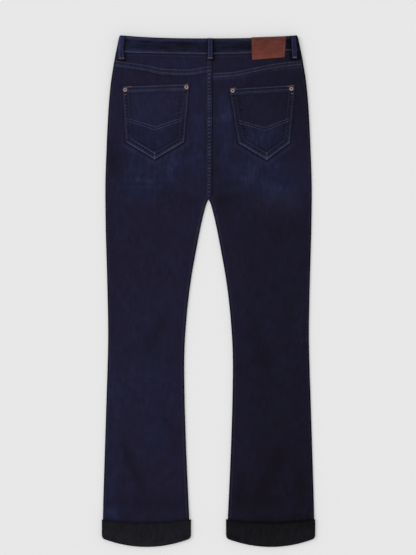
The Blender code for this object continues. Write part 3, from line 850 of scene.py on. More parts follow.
def wash_and_painted_light(x, y):
    """How pale a place on the back is, from 0 to 1: washed paler, and on ridges paler also from painted light.
    """
    blotches = 0.5 * smooth_noise(x / 25, y / 20, 11) + 0.4 * smooth_noise(x / 11, y / 7, 12)
    zones = in_zones(x, y, FADES) * (1 + FADE_UNEVEN * blotches)
    return np.clip(zones + FADE_RIDGES * relief(x, y) + FADE_BLOTCHES * blotches + FADE_PLAIN, 0, 1)


def right_leg_shade(x, y):
    """How much darker a place is, in painted shade, because it lies on the right leg, or right of the seat's
    middle.
    """
    return ramp(x, RIGHT_SHADE_START, RIGHT_SHADE_END) * right_shade(y)


def on_rim(x, y):
    """1 where the cloth rolls away to the other face, and 0 further in."""
    start = RIM_START + RIM_HIP * (x > 0) * ramp(y, 320, 400)
    return 1 - ease((edge_distance(x, y) - start) / RIM_FALL)


def dye_and_painted_shade(x, y):
    """How much darker than usual a place on the back is: 0 is plain and 1 is well darker. Dye kept in zones and
    in crease troughs adds to painted shade on the right leg, on the rolled rim and in the troughs.
    """
    troughs = np.maximum(crease_depth(x, y, MAIN_CREASES), 0) * ease(edge_distance(x, y) / FOLD_FADE)
    return right_leg_shade(x, y) + TROUGH_DYE_AND_PAINTED_SHADE * troughs + RIM_PAINTED_SHADE * on_rim(x, y) + in_zones(x, y, DYED)


def rim_highlight(x, y):
    """Painted highlight: the pale line just inside the outline, along the rolled edge."""
    softer = 1 - (y < CROTCH) * drawn(np.abs(x) - inside_leg(y), INSIDE_LEG_SOFTER)
    return softer * drawn(edge_distance(x, y), RIM_HIGHLIGHT) * (0.8 + 0.5 * smooth_noise(y / 15, x / 90, 61))


# What a seam does to the cloth beside it: how far it lifts, how rubbed it is, with some painted highlight, and
# how dark it is, mostly in painted shade
Effect = namedtuple("Effect", "rise wear dark")


def together(*effects):
    """The sum of some effects."""
    return Effect(*(sum(parts) for parts in zip(*effects)))


def scaled(effect, share):
    return Effect(*(part * share for part in effect))


def seam_effect(distance, along, seed, ridge=0.0, rows=(), rope=0.0, shadow=0.85, edge=0.32):
    """The effect beside a seam, by the distance in from its edge and the place along it.

    A ridge is the doubled cloth of a felled seam, with a rubbed edge and painted shade at its foot and middle.
    Without one, the cloth gets a painted shadow from its neighbour. Rope says how much the seam has twisted
    into ripples, paler on their crests and darker in their troughs with kept dye and painted shade.
    """
    level_line = np.zeros(np.shape(along)) + 0.5
    lumps = smooth_noise(along / PUCKER_LENGTH, level_line, seed)
    lumps = lumps + 0.5 * smooth_noise(along / FINE_PUCKER_LENGTH, level_line, seed + 50)
    drift = 0.6 * smooth_noise(along / ROPE_DRIFT, level_line, seed + 70)
    twist = np.sin(math.tau * ((along + ROPE_SLANT * distance) / ROPE_PITCH + drift))
    across = bell(distance - 0.56 * ridge, 0.24 * ridge + 0.5)
    rise = PUCKER * lumps * bell(distance - 0.5 * ridge, PUCKER_REACH) + ROPE * rope * twist * across
    wear = ROPE_WEAR * rope * np.clip(twist + 0.45 * lumps, 0, 1.3) * across
    dark = ROPE_SHADE * rope * np.clip(-twist - 0.55 * lumps, 0, 1.2) * across
    fray = np.clip(0.8 + 0.6 * lumps, 0.15, 1.5)
    if ridge:
        rise = rise + RIDGE * ease((ridge - distance) / RIDGE_FALL)
        wear = wear + edge * fray * drawn(distance, RIDGE_EDGE_WEAR)
        wear = wear + fray * drawn(distance - ridge, RIDGE_FOOT_WEAR)
        dark = dark + (1 - rope) * drawn(distance - 0.5 * ridge, RIDGE_MIDDLE_SHADE)
        dark = dark + drawn(distance - ridge, RIDGE_FOOT_SHADE)
    else:
        dark = dark + shadow * drawn(distance, *NEIGHBOUR_SHADE)
    for at in rows:
        rise = rise - drawn(distance - at, ROW_SINK)
        wear = wear + fray * drawn(distance - at, ROW_WEAR)
    return Effect(rise, wear, dark)


# Making the pieces


def add_object(name, data):
    """An object of a mesh, a lamp or a camera, in the scene."""
    made = bpy.data.objects.new(name, data)
    bpy.context.scene.collection.objects.link(made)
    return made


def new_shell(name, points, wall, finish, face=BACK, masks=None, ring=False, edge=0.3):
    """A thin shell whose outside passes through a grid of points, thickened inwards with rounded edges."""
    masks = dict(masks or {})
    if not ring and (points[0, -1, 0] > points[0, 0, 0]) != (face == BACK):
        points = points[:, ::-1]
        masks = {key: values[:, ::-1] for key, values in masks.items()}
    rows, count = points.shape[:2]
    shape = bmesh.new()
    bmesh.ops.create_grid(shape, x_segments=count - 1, y_segments=rows - 1, size=1.0)
    mesh = bpy.data.meshes.new(name)
    shape.to_mesh(mesh)
    shape.free()
    mesh.vertices.foreach_set("co", np.ascontiguousarray(points * MM, np.float32).ravel())
    for key, values in masks.items():
        layer = mesh.attributes.new(key, "FLOAT", "POINT")
        layer.data.foreach_set("value", np.ascontiguousarray(values, np.float32).ravel())
    mesh.materials.append(finish)
    mesh.shade_smooth()
    mesh.update()
    piece = add_object(name, mesh)
    if ring:
        weld = piece.modifiers.new("close", "WELD")
        weld.merge_threshold = 0.01 * MM
    thicken = piece.modifiers.new("wall", "SOLIDIFY")
    thicken.thickness = wall * MM
    thicken.offset = -1.0
    soften = piece.modifiers.new("edges", "BEVEL")
    soften.width = edge * MM
    soften.segments = 2
    soften.limit_method = "ANGLE"
    soften.angle_limit = math.radians(55)
    return piece


def dress(piece, slot, *nodes):
    """Sets a piece on the jeans, in place of the plain nodes that it stands for."""
    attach(piece, "root")
    if nodes:
        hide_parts(*nodes)
    return piece


def lay_cloth(node, points, wall, masks, face=BACK, edge=0.3, finish=None):
    """A piece of denim in place of a plain node."""
    piece = new_shell(f"{node}_cloth", points, wall, finish or denim, face, masks, edge=edge)
    return dress(piece, "denim", node)


def plain_masks(x):
    """Masks of cloth that is neither faded nor rubbed."""
    return {"fade": 0.2 + 0 * x, "wear": 0 * x, "dark": 0.3 + 0 * x}


Columns = namedtuple("Columns", "share rolled flat rise")


def columns_across(width, spacing, shares=None):
    """Columns of a panel from its inner edge out to its side, closer together near both."""
    turn = np.radians(ROLL_ANGLES)
    near = np.array(NEAR_EDGE)
    rolled = np.concatenate([ROLL * (1 - np.cos(turn)), near])
    flat = np.concatenate([ROLL * turn / turn[-1], near])
    rise = np.concatenate([np.sin(turn), np.ones(len(near))])
    if shares is None:
        shares = np.linspace(0, 1, max(2, round((width - 2 * MARGIN) / spacing)) + 1)
    between = MARGIN * (1 - 2 * shares)
    return Columns(
        share=np.concatenate([0 * flat, shares, 0 * flat + 1]),
        rolled=np.concatenate([rolled, between, -rolled[::-1]]),
        flat=np.concatenate([flat, between, -rolled[::-1]]),
        rise=np.concatenate([rise, 0 * shares + 1, rise[::-1]]),
    )


def panel_grid(side, columns, lines, inner_edge, curls=True):
    """(x, y, rise) where a panel's columns cross its lines."""
    found = []
    inner = columns.share < 0.5
    for line in lines:
        y = line(np.full(len(columns.share), side * WAIST_HALF))
        for _ in range(6):
            curl = np.where(inner, crotch_roll(y), 1.0) if curls else np.where(inner, 0.0, 1.0)
            out = mix(inner_edge(y), side_seam(y), columns.share) + mix(columns.flat, columns.rolled, curl)
            y = line(side * out)
        found.append((side * out, y, mix(1.0, columns.rise, curl)))
    return tuple(np.array(part) for part in zip(*found))


def back_inner_edge(side):
    """Inner edge of a back panel: the inside leg, then the centre back seam."""

    def edge(y):
        leg = np.maximum(inside_leg(y), CLOSE / 2)
        return np.where(y < CROTCH, leg, CLOSE / 2 + side * centre_back(y))

    return edge


def front_inner_edge(y):
    return np.where(y < CROTCH, np.maximum(inside_leg(y), CLOSE / 2), CLOSE / 2)


def stack(x, y, z):
    return np.stack(np.broadcast_arrays(x, y, z), axis=-1)


def leg_lines(top, spacing):
    """Lines across a leg panel, from inside the turned-up hem up to its top edge."""
    below, above = CROTCH - BELOW_CROTCH, CROTCH + spacing.above_crotch
    near_top = moved(top, -spacing.margin)
    lines = lines_between(moved(hem_line, CURL_CLEAR), cuff_line, spacing.hem, CUFF_HEIGHT)
    lines += lines_between(cuff_line, level(SHIN), spacing.leg, SHIN_LENGTH)
    lines += lines_between(level(SHIN), level(below), spacing.leg, below - SHIN)
    lines += lines_between(level(below), level(CROTCH), spacing.crotch, BELOW_CROTCH)
    lines += [level(CROTCH + ROLL * share) for share in UNROLLING]
    lines += lines_between(level(above), level(SEAT), spacing.seat, SEAT - above)
    lines += lines_between(level(SEAT), near_top, spacing.seat, spacing.length)
    return lines + lines_between(near_top, top, spacing.edge, spacing.margin) + [top]


def band_lines(lower, upper, edge_step, step):
    """Lines along a waistband, closer together near both of its edges."""
    low, high = moved(lower, BAND_MARGIN), moved(upper, -BAND_MARGIN)
    lines = lines_between(lower, low, edge_step, BAND_MARGIN) + lines_between(low, high, step, BAND_HEIGHT)
    return lines + lines_between(high, upper, edge_step, BAND_MARGIN) + [upper]


def centre_seam(side, x, y):
    """The effect beside the centre back seam, whose ridge lies on the left and casts a painted shadow on its
    right.
    """
    distance = side * (x - centre_back(y))
    above = ramp(y, CROTCH, CROTCH + 14)
    rubbed = mix(0.78, 0.9, ramp(y, 270, 380))
    if side == RIGHT:
        made = seam_effect(distance, y, 22, rope=CENTRE_ROPE[side], shadow=mix(1.2, 1.8, rubbed))
        return scaled(made, above)
    edge = mix(0.04, 0.34, bell(y - 386, 30))
    made = seam_effect(distance, y, 21, CENTRE_RIDGE, rope=CENTRE_ROPE[side], edge=edge)
    wear = rubbed * made.wear + drawn(distance, SPINE_WEAR)
    wear = wear + bell(y - 483, 8) * drawn(distance, CROSSING_WEAR)
    dark = made.dark + (1 - rubbed) * drawn(distance, SPINE_SHADE)
    dark = dark + bell(y - 461, 12) * drawn(distance, CROSSING_SHADE)
    return scaled(Effect(made.rise, wear, dark), above)


def beside_pocket(side, x, y):
    """The painted shadow where a pocket's edge lies on the back panel, and the paler cloth below its point."""
    around, _, below_top = pocket_edges(BACK_POCKETS[side], x, y)
    low = ramp(y, 345, 315)
    strength = mix(mix(0.5, 1.5, ramp(side * x, 118, 98)), 1.9, low)
    dark = strength * drawn(around, BESIDE_POCKET_SHADE) + drawn(below_top, ABOVE_POCKET_SHADE)
    return Effect(0.0, low * drawn(around, BELOW_POCKET_WEAR), dark)


def beside_loops(x, y):
    """Painted shadow on the cloth beside each belt loop, most of all on its right."""
    dark = np.zeros(np.broadcast(x, y).shape)
    for loop in BELT_LOOPS:
        if loop.face == BACK:
            along = (y - loop.lower[1]) / (loop.upper[1] - loop.lower[1])
            off = x - loop_middle(loop, along)
            right, left = (np.maximum(way * off - 0.5 * loop.width, 0) for way in (1, -1))
            halo = np.where(off > 0, drawn(right, *LOOP_SHADE_RIGHT), drawn(left, LOOP_SHADE_LEFT))
            halo = halo + loop.spread * drawn(left, LOOP_SHADE_SPREAD)
            dark = dark + loop.shadow * halo * ramp(along, -0.18, 0.02)
    return dark


def back_effects(side, x, y):
    """The effect of everything sewn along the edges of a back leg panel."""
    clear = ramp(y, -500, -480)
    below = ramp(y, CROTCH + 6, CROTCH - 24)
    faint = 0.5 * below * mix(0.25, 1.0, ramp(y, 60, 180))
    from_inseam = np.abs(x) - inside_leg(y) - INSEAM_START
    inseam = seam_effect(from_inseam, y, 31 + side, INSEAM_RIDGE, INSEAM_ROWS, rope=0.8)
    inseam = Effect(0.6 * below * clear * inseam.rise, faint * inseam.wear, faint * inseam.dark)
    outseam = seam_effect(side_seam(y) - np.abs(x) - OUTSEAM_START, y, 41 + side)
    outseam = Effect(0.7 * clear * outseam.rise, 0.0, 0.0)
    below_yoke = yoke_line(side)(x) - y
    yoke = seam_effect(below_yoke, x, 51 + side, shadow=YOKE_SHADOW[side])
    # Rubbed holds the rim's painted highlight and the rubbed zones
    rubbed = rim_highlight(x, y) + in_zones(x, y, RUBBED) * (1 + 0.5 * smooth_noise(x / 19, y / 12, 59))
    if side == RIGHT:
        rubbed = rubbed + drawn(below_yoke, BELOW_YOKE_WEAR) * (1 + smooth_noise(x / 5, y / 9, 57))
    # Painted shadow above the turned-up hem
    extra = Effect(0.0, rubbed, drawn(y - cuff_line(x), *ABOVE_CUFF_SHADE))
    return together(centre_seam(side, x, y), inseam, outseam, yoke, beside_pocket(side, x, y), extra)


def back_masks(x, y, effect):
    """Masks of a piece on the back."""
    dark = np.clip(dye_and_painted_shade(x, y) + effect.dark, -0.3, DARKEST)
    return {"fade": wash_and_painted_light(x, y), "wear": np.clip(effect.wear, 0, 1), "dark": dark}


def build_back(side):
    """One back leg panel, from inside the hem up to the yoke."""
    lines = leg_lines(moved(yoke_line(side), -CLOSE / 2), BACK_SPACING)
    x, y, rise = panel_grid(side, columns_across(BACK_WIDTH, GRID), lines, back_inner_edge(side))
    effect = back_effects(side, x, y)
    z = surface(BACK, x, y, rise, effect.rise)
    return lay_cloth(f"back_{SIDE_NAMES[side]}", stack(x, y, z), CLOTH, back_masks(x, y, effect))


def yoke_effects(side, x, y):
    """The effect of everything sewn along the edges of a yoke, with the rim's painted highlight and the belt
    loops' painted shadow.
    """
    distance, below_band = y - yoke_line(side)(x), band_seam(x) - y
    centre = centre_seam(side, x, y)
    lower = seam_effect(distance, x, 55 + side, YOKE_RIDGE[side], YOKE_ROWS[side], rope=0.5)
    lift = np.maximum(centre.rise, lower.rise)
    seams = Effect(lift, 0.4 * centre.wear + lower.wear, 0.7 * centre.dark + lower.dark)
    upper = seam_effect(below_band, x, 58 + side, shadow=1.15)
    upper = Effect(0.6 * upper.rise, drawn(below_band, YOKE_TOP_WEAR), upper.dark)
    rubbed = drawn(distance - YOKE_ROWS[side][1], YOKE_ROW_WEAR) + drawn(distance, YOKE_EDGE_WEAR)
    return together(seams, upper, Effect(0.0, rim_highlight(x, y) + rubbed, beside_loops(x, y)))


def build_yoke(side):
    """The shaped piece between a back panel and the waistband."""
    lower = moved(yoke_line(side), CLOSE / 2)
    upper = moved(band_seam, -CLOSE / 2)
    lines = lines_between(lower, moved(lower, YOKE_MARGIN), 1.1, YOKE_MARGIN)
    lines += lines_between(moved(lower, YOKE_MARGIN), upper, 2.2, YOKE_HEIGHT) + [upper]
    columns = columns_across(YOKE_WIDTH, GRID)
    x, y, rise = panel_grid(side, columns, lines, back_inner_edge(side), curls=False)
    effect = yoke_effects(side, x, y)
    z = surface(BACK, x, y, rise, effect.rise)
    return lay_cloth(f"yoke_{SIDE_NAMES[side]}", stack(x, y, z), CLOTH, back_masks(x, y, effect))


def front_columns():
    """Columns of a front panel, closer together where the scoop turns."""
    reach = SCOOP_CORNER_X - 2 * MARGIN
    start = (SCOOP_CORNER_X - SCOOP_WIDTH - MARGIN) / reach
    turn = np.cos(np.radians(np.arange(0, 79, 6)))
    scoop = (SCOOP_CORNER_X - SCOOP_WIDTH * turn - MARGIN) / reach
    return columns_across(0.0, 0.0, np.concatenate([np.linspace(0, start, 18)[:-1], scoop]))


def build_front(side):
    """One front leg panel, cut away at the top for the pocket scoop."""
    lines = leg_lines(moved(scoop_line, -CLOSE / 2), FRONT_SPACING)
    x, y, rise = panel_grid(side, front_columns(), lines, front_inner_edge)
    effect = seam_effect(scoop_line(x) - y, x, 71 + side, SCOOP_RIDGE, SCOOP_ROWS)
    near_scoop = ramp(y, 420, 450) * ramp(np.abs(x), 90, 105)
    z = surface(FRONT, x, y, rise, np.clip(effect.rise, -0.2, 0.4) * 0.4 * near_scoop)
    # Wear takes the rim's painted highlight; dark is painted shade in the creases' troughs and on the rolled
    # rim
    wear = np.clip(effect.wear * near_scoop + rim_highlight(x, y), 0, 1)
    blotches = 0.5 * smooth_noise(x / 17, y / 26, 13) + 0.5 * smooth_noise(x / 7, y / 12, 14)
    fade = in_zones(x, y, FRONT_FADES) * (1 + 0.5 * blotches) + 0.09 * blotches + 0.14
    dark = 0.3 + 0.3 * front_troughs(x, y) + 1.8 * on_rim(x, y)
    masks = {"fade": np.clip(fade, 0, 1), "wear": wear, "dark": dark}
    return lay_cloth(f"front_{SIDE_NAMES[side]}", stack(x, y, z), CLOTH, masks, FRONT)


def build_pocket_facing(side):
    """The cloth that shows in a front pocket's scoop and runs on a little behind the front."""
    inner_x = SCOOP_CORNER_X - SCOOP_WIDTH - FACING_MARGIN
    upper = moved(front_band_seam, -CLOSE / 2)
    lower = moved(front_band_seam, -SCOOP_DROP - FACING_MARGIN)
    lines = lines_between(lower, upper, 4.0, SCOOP_DROP + FACING_MARGIN) + [upper]
    columns = columns_across(FACING_WIDTH, 5.0)
    x, y, rise = panel_grid(side, columns, lines, level(inner_x), curls=False)
    sink = (CLOTH + CLOSE) * (1 - ease((inside_scoop(x, y) - FACING_LOW) / FACING_EASE))
    z = surface(FRONT, x, y, rise)
    at_side = columns.share > 0.5
    x = np.where(at_side, x - side * sink * (1 - np.clip(-columns.rolled / ROLL, 0, 1)), x)
    z = z + np.where(at_side, sink * columns.rise, sink)
    return lay_cloth(f"pocket_facing_{SIDE_NAMES[side]}", stack(x, y, z), FACING, plain_masks(x), FRONT)


def build_fly_shield():
    """The strip of cloth behind the closed fly."""
    top = float(front_band_seam(0.0))
    across = np.linspace(-0.5, 0.5, 15) * FLY_SHIELD_WIDTH
    x, y = np.meshgrid(across, np.linspace(top - FLY_LENGTH, top - CLOSE / 2, 40))
    z = surface(FRONT, x, y) + CLOTH + LAID
    return lay_cloth("fly_shield", stack(x, y, z), FLY_SHIELD, plain_masks(x), FRONT)


def band_effects(x, y, lower, upper, seed):
    """The effect of the row of stitching along each edge of a waistband, with level slubs pressed between."""
    up, down = y - lower(x), upper(x) - y
    low = seam_effect(up, x, seed, rows=(BAND_ROW,))
    top = seam_effect(down, x, seed + 1, rows=(BAND_TOP_ROW,))
    streaks = smooth_noise(x / 30, y / 2.6, seed + 2) + 0.6 * smooth_noise(x / 11, y / 2.0, seed + 4)
    rise = low.rise + 0.6 * top.rise + 0.12 * smooth_noise(x / 46, y / 7, seed + 3)
    tucks = smooth_noise(x / 3.0, y / 9, seed + 5)
    wear = 0.3 * top.wear + (0.28 + 0.07 * streaks) * drawn(up, BAND_LOW_WEAR) + drawn(down, BAND_TOP_WEAR)
    wear = wear + 0.05 * np.clip(tucks, 0, 1) * drawn(up, BAND_TUCKS)
    dark = 0.1 + (0.72 + 0.8 * streaks) * ramp(down, 5, 9) * ramp(up, 4, 11)
    # Painted shade along the top edge and beside the lower row
    dark = dark + drawn(down, BAND_EDGE_SHADE) + drawn(up, BAND_ROW_SHADE)
    dark = dark - 0.5 * tucks * drawn(up, BAND_TUCKS) - 0.5 * ramp(x, -130, -190)
    return Effect(rise, wear, dark)


def band_fade(x, y, lower, upper):
    """How pale a waistband is: washed paler along its edges, and paler at its left end."""
    edges = drawn(upper(x) - y, BAND_TOP_FADE) + drawn(y - lower(x), BAND_LOW_FADE)
    streaks = 0.2 * smooth_noise(x / 24, y / 2.6, 87)
    return np.clip(edges + streaks + 0.26 + 0.3 * ramp(x, -100, -180), 0, 1)


def build_back_waistband():
    """The back of the waistband, in one piece across both yokes."""
    lower = moved(band_seam, CLOSE / 2)
    lines = band_lines(lower, waist_edge, 0.8, 2.0)
    halves = []
    for side in (LEFT, RIGHT):
        columns = columns_across(BAND_WIDTH, 3.0)
        half = panel_grid(side, columns, lines, lambda y, side=side: side * centre_back(y), curls=False)
        halves.append([part[:, ::-1][:, :-1] if side == LEFT else part for part in half])
    x, y, rise = (np.concatenate(parts, axis=1) for parts in zip(*halves))
    effect = band_effects(x, y, lower, waist_edge, 81)
    z = surface(BACK, x, y, rise, BAND_PROUD + effect.rise)
    masks = back_masks(x, y, together(effect, Effect(0.0, 0.0, beside_loops(x, y))))
    masks["fade"] = band_fade(x, y, lower, waist_edge)
    return lay_cloth("waistband_back", stack(x, y, z), BAND, masks, edge=0.6, finish=denim_crosswise)


def build_front_waistband(side):
    """Half of the front waistband. The left end lies over the right one, as the button holds them."""
    lower = moved(front_band_seam, CLOSE / 2)
    lines = band_lines(lower, front_waist_edge, 1.2, 3.0)
    columns = columns_across(FRONT_BAND_WIDTH, 4.0)
    x, y, rise = panel_grid(side, columns, lines, level(-BAND_OVERLAP[side]), curls=False)
    effect = band_effects(x, y, lower, front_waist_edge, 91 + side)
    z = surface(FRONT, x, y, rise, BAND_PROUD + 0.5 * effect.rise)
    if side == RIGHT:
        z = z + (BAND + LAID) * ramp(x, UNDERLAP_START, UNDERLAP_END)
    masks = {"fade": band_fade(x, y, lower, front_waist_edge), "wear": effect.wear, "dark": effect.dark}
    name = f"waistband_front_{SIDE_NAMES[side]}"
    return lay_cloth(name, stack(x, y, z), BAND, masks, FRONT, 0.6, denim_crosswise)


def cuff_ring():
    """(share, offset, rise) of the columns round a turned-up hem, starting and ending at its outer edge."""
    turn = np.radians(np.linspace(0, 90, 8))
    shares = np.linspace(1, 0, 44)[1:-1]
    over_share = np.concatenate([0 * turn + 1, shares, 0 * turn])
    over_offset = np.concatenate([np.cos(turn) - 1, 0 * shares, (1 - np.cos(turn))[::-1]])
    over_rise = np.concatenate([np.sin(turn), 0 * shares + 1, np.sin(turn)[::-1]])
    share = np.concatenate([over_share, over_share[::-1][1:]])
    offset = np.concatenate([over_offset, over_offset[::-1][1:]])
    rise = np.concatenate([over_rise, -over_rise[::-1][1:]])
    return share, offset, rise


def build_cuff(side):
    """A turned-up hem: a flattened ring round the leg, folded in along its lower edge."""
    half = CUFF_DEPTH / 2
    share, offset, rise = cuff_ring()
    fold = np.radians(np.linspace(0, 180, 11))
    down = np.linspace(0, 1, 19)[:-1]
    insets = np.concatenate([0 * down, CURL * (1 - np.cos(fold))])
    lowered = np.concatenate([0 * down, CURL * (1 - np.sin(fold))])
    down = np.concatenate([down, 0 * fold + 1])
    inset, down, lowered = (part[:, None] for part in (insets, down, lowered))
    out = mix(CUFF_INNER + inset, CUFF_OUTER - inset, share) + offset * (half - inset)
    y = mix(cuff_line(out), hem_line(out) + lowered, down)
    facing_up = rise > 0
    waves = 0.5 * smooth_noise(out / 33, np.where(facing_up, 0.5, 7.5), 15 + side)
    y = y + waves * (1 - down) ** 2
    dents = 0.22 * smooth_noise(out / 26, y / 21, 17 + side) - drawn((1 - down) * CUFF_HEIGHT, CUFF_HEM_SINK)
    dents = dents * np.clip(np.abs(rise), 0, 1) ** 3 * facing_up
    z = half + (half - inset) * rise + dents
    from_top, from_hem = down * CUFF_HEIGHT, (1 - down) * CUFF_HEIGHT + lowered
    from_side = np.minimum(out - CUFF_INNER, CUFF_OUTER - out)
    wear = drawn(from_hem, CUFF_HEM_WEAR) + 0.1 * smooth_noise(out / 12, y / 12, 19)
    # Painted shade along the top, sides and hem, in lines near the corners, and all over the right one
    dark = drawn(from_top, *CUFF_TOP_SHADE) + drawn(from_side, CUFF_SIDE_SHADE) + CUFF_PAINTED_SHADE[side]
    corner = ramp(np.abs(across_leg(out)), 0.62, 0.82) * facing_up
    dark = dark + drawn(from_hem, CUFF_HEM_SHADE) + corner * drawn(from_hem, *CUFF_CORNER_SHADE)
    dark = dark + 0.12 * smooth_noise(out / 30, y / 18, 20 + side)
    masks = {"wear": np.clip(wear, 0, 1) + 0 * z, "dark": np.clip(dark, 0, DARKEST) + 0 * z}
    points = stack(side * out, y, z)
    if side == LEFT:
        points = points[:, ::-1]
        masks = {key: values[:, ::-1] for key, values in masks.items()}
    name = f"cuff_{SIDE_NAMES[side]}"
    piece = new_shell(f"{name}_cloth", points, CUFF, brushed_inside, masks=masks, ring=True, edge=0.4)
    return dress(piece, "brushed_inside", name)


def edge_shares(length, near, step):
    """Shares along a length: close together near both ends and evenly spaced between."""
    near = np.array(near)
    count = max(2, round((length - 2 * near[-1]) / step))
    between = np.linspace(near[-1], length - near[-1], count + 1)
    return np.concatenate([near[:-1], between, (length - near[:-1])[::-1]]) / length


def pocket_spot(shape, across, up):
    """A place on a back pocket, from its point (0) up to its top edge (1)."""
    top = stack(*(mix(a, b, across) for a, b in zip(shape.top_inner, shape.top_outer)), 0.0)[..., :2]
    inner, point, outer = (np.array(corner) for corner in (shape.low_inner, shape.point, shape.low_outer))
    across, up = np.asarray(across)[..., None], np.asarray(up)[..., None]
    low = np.where(across < 0.5, mix(inner, point, 2 * across), mix(point, outer, 2 * across - 1))
    spot = mix(low, top, up)
    return spot[..., 0], spot[..., 1]


def beside_segment(x, y, start, end):
    """(distance, place along) from points to a straight line between two places."""
    run, climb = end[0] - start[0], end[1] - start[1]
    share = np.clip(((x - start[0]) * run + (y - start[1]) * climb) / (run**2 + climb**2), 0, 1)
    return np.hypot(x - start[0] - share * run, y - start[1] - share * climb), share * math.hypot(run, climb)


def beside_path(x, y, corners):
    """(distance, place along) from points to a path through corners."""
    distance, along, passed = np.full(np.broadcast(x, y).shape, np.inf), 0.0, 0.0
    for start, end in zip(corners[:-1], corners[1:]):
        off, place = beside_segment(x, y, start, end)
        along = np.where(off < distance, passed + place, along)
        distance = np.minimum(off, distance)
        passed += math.dist(start, end)
    return distance, along


def pocket_sides(shape):
    return (shape.top_outer, shape.low_outer, shape.point, shape.low_inner, shape.top_inner)


def pocket_edges(shape, x, y):
    """(distance from a pocket's sides and point, place along them, distance from its top edge)."""
    around, along = beside_path(x, y, pocket_sides(shape))
    return around, along, beside_segment(x, y, shape.top_inner, shape.top_outer)[0]


def pocket_effects(side, x, y):
    """The effect of a pocket's hem, its turned-in edges and the lumps between their rows of stitching. Its
    darkness is painted shade, in the dips between lumps and beside the rows and edges.
    """
    around, along, below_top = pocket_edges(BACK_POCKETS[side], x, y)
    low, inner = ramp(y, 348, 322), ramp(side * x, 118, 98)
    lumps = smooth_noise(x / 6.5, y / 6.5, 101 + side) + 0.6 * smooth_noise(x / 3.4, y / 3.4, 103 + side)
    drift = 2.5 * smooth_noise(along / 22, along * 0, 109 + side)
    rungs = np.sin(math.tau * along / ROPE_PITCH + drift) + 0.6 * lumps
    between = drawn(around, POCKET_LADDER) * ramp(below_top, 8, 14)
    turned = 0.34 * ease((POCKET_TURNING - around) / 1.8)
    hemmed = 0.55 * ease((POCKET_HEM - below_top) / 1.8)
    rise = np.maximum(turned, hemmed) + 0.14 * rungs * between + lumps * drawn(below_top, POCKET_LUMPS)
    rise = rise + 0.35 * smooth_noise(x / 38, y / 46, 105 + side) * ease(around / 20)
    for distance, rows in ((around, POCKET_EDGE_ROWS), (below_top, POCKET_HEM_ROWS)):
        rise = rise - sum(drawn(distance - at, POCKET_ROW_SINK) for at in rows)
    fray = np.clip(0.85 + 0.4 * lumps, 0.25, 1.3)
    from_point = x - BACK_POCKETS[side].point[0]
    mitre = drawn(from_point, POCKET_MITRE) * ramp(around, 15, 12) * low
    faint = ramp(from_point, -4, 4) if side == LEFT else 0.7
    edge = mix(mix(0.17, 0.26, inner), 0.50, low) * bell(around - 1.6, mix(mix(3.4, 1.6, inner), 1.9, low))
    inner_row = mix(0.02, mix(0.30, 0.10, faint), low) * drawn(around, POCKET_INNER_ROW)
    wear = fray * (edge + inner_row + drawn(below_top, *POCKET_HEM_WEAR)) + 0.6 * mitre
    wear = wear + mix(0.05, 0.10, faint) * low * drawn(around, POCKET_TURNING_WEAR)
    wear = wear + 0.08 * np.clip(rungs, 0, 1.3) * between + 0.04 * ramp(y, 340, 400) * (side == LEFT)
    ladder = np.clip(0.25 - rungs - 0.4 * lumps, 0, 1.5) * between * mix(1.0, 0.3, low)
    pulled = mix(0.35, 1.0, inner) * (1 - low) * ramp(below_top, 14, 22) * drawn(around, POCKET_PULLED)
    dark = 1.05 * ladder + low * drawn(around, *POCKET_LOW_SHADE)
    dark = dark + 1.9 * np.clip(rungs - 0.2, 0, 1.2) * pulled
    dark = dark + (1 - low) * (1 - 0.5 * lumps) * drawn(around, POCKET_SIDE_SHADE)
    dark = dark + drawn(below_top, POCKET_HEM_SHADE)
    dark = dark + drawn(below_top, POCKET_HEM_DIP_SHADE) * np.clip(1 - lumps, 0, 1.4)
    return Effect(rise, wear, dark)


def pocket_height(side):
    """Height of a pocket's outside, as a function of the place."""
    under = laid_on(BACK, LAID + POCKET)
    return lambda x, y: under(x, y) + pocket_effects(side, x, y).rise


def build_back_pocket(side):
    """A patch pocket, pointed at the bottom, laid on the back panel."""
    shape = BACK_POCKETS[side]
    near = (0.0, 0.7, 1.4, 2.2, 3.2, 4.4, 5.6, 6.6, 7.4, 8.2, 9.2, 10.6)
    across = edge_shares(POCKET_SIZE, near, 3.0)
    half = len(across) // 2
    across[half] = 0.5 if len(across) % 2 else across[half]
    across, up = np.meshgrid(across, edge_shares(POCKET_SIZE, near + (12.4, 13.6), 2.0))
    x, y = pocket_spot(shape, across, up)
    z = pocket_height(side)(x, y)
    effect = pocket_effects(side, x, y)
    blotches = smooth_noise(x / 11, y / 12, 107 + side)
    fade = in_zones(x, y, POCKET_FADES[side]) * (1 + 0.4 * blotches) + 0.08 * blotches + 0.21
    dark = right_leg_shade(x, y) + effect.dark + 0.25 * ramp(x, -20, -40) * ramp(y, 390, 340)
    wear = np.clip(effect.wear + in_zones(x, y, POCKET_RUBBED), 0, 1)
    masks = {"fade": np.clip(fade, 0, 1), "wear": wear, "dark": np.clip(dark, 0, DARKEST)}
    return lay_cloth(f"back_pocket_{SIDE_NAMES[side]}", stack(x, y, z), POCKET, masks, edge=0.55)


def loop_middle(loop, along):
    """How far right a belt loop's middle lies, at a share of its length up from its lower end."""
    return mix(loop.lower[0], loop.upper[0], along) + loop.bend * np.sin(np.pi * np.clip(along, 0, 1))


def loop_spot(loop, across, along):
    """A place on a belt loop, from its left edge (-0.5) to its right one and from its lower end up."""
    return loop_middle(loop, along) + across * loop.width, mix(loop.lower[1], loop.upper[1], along)


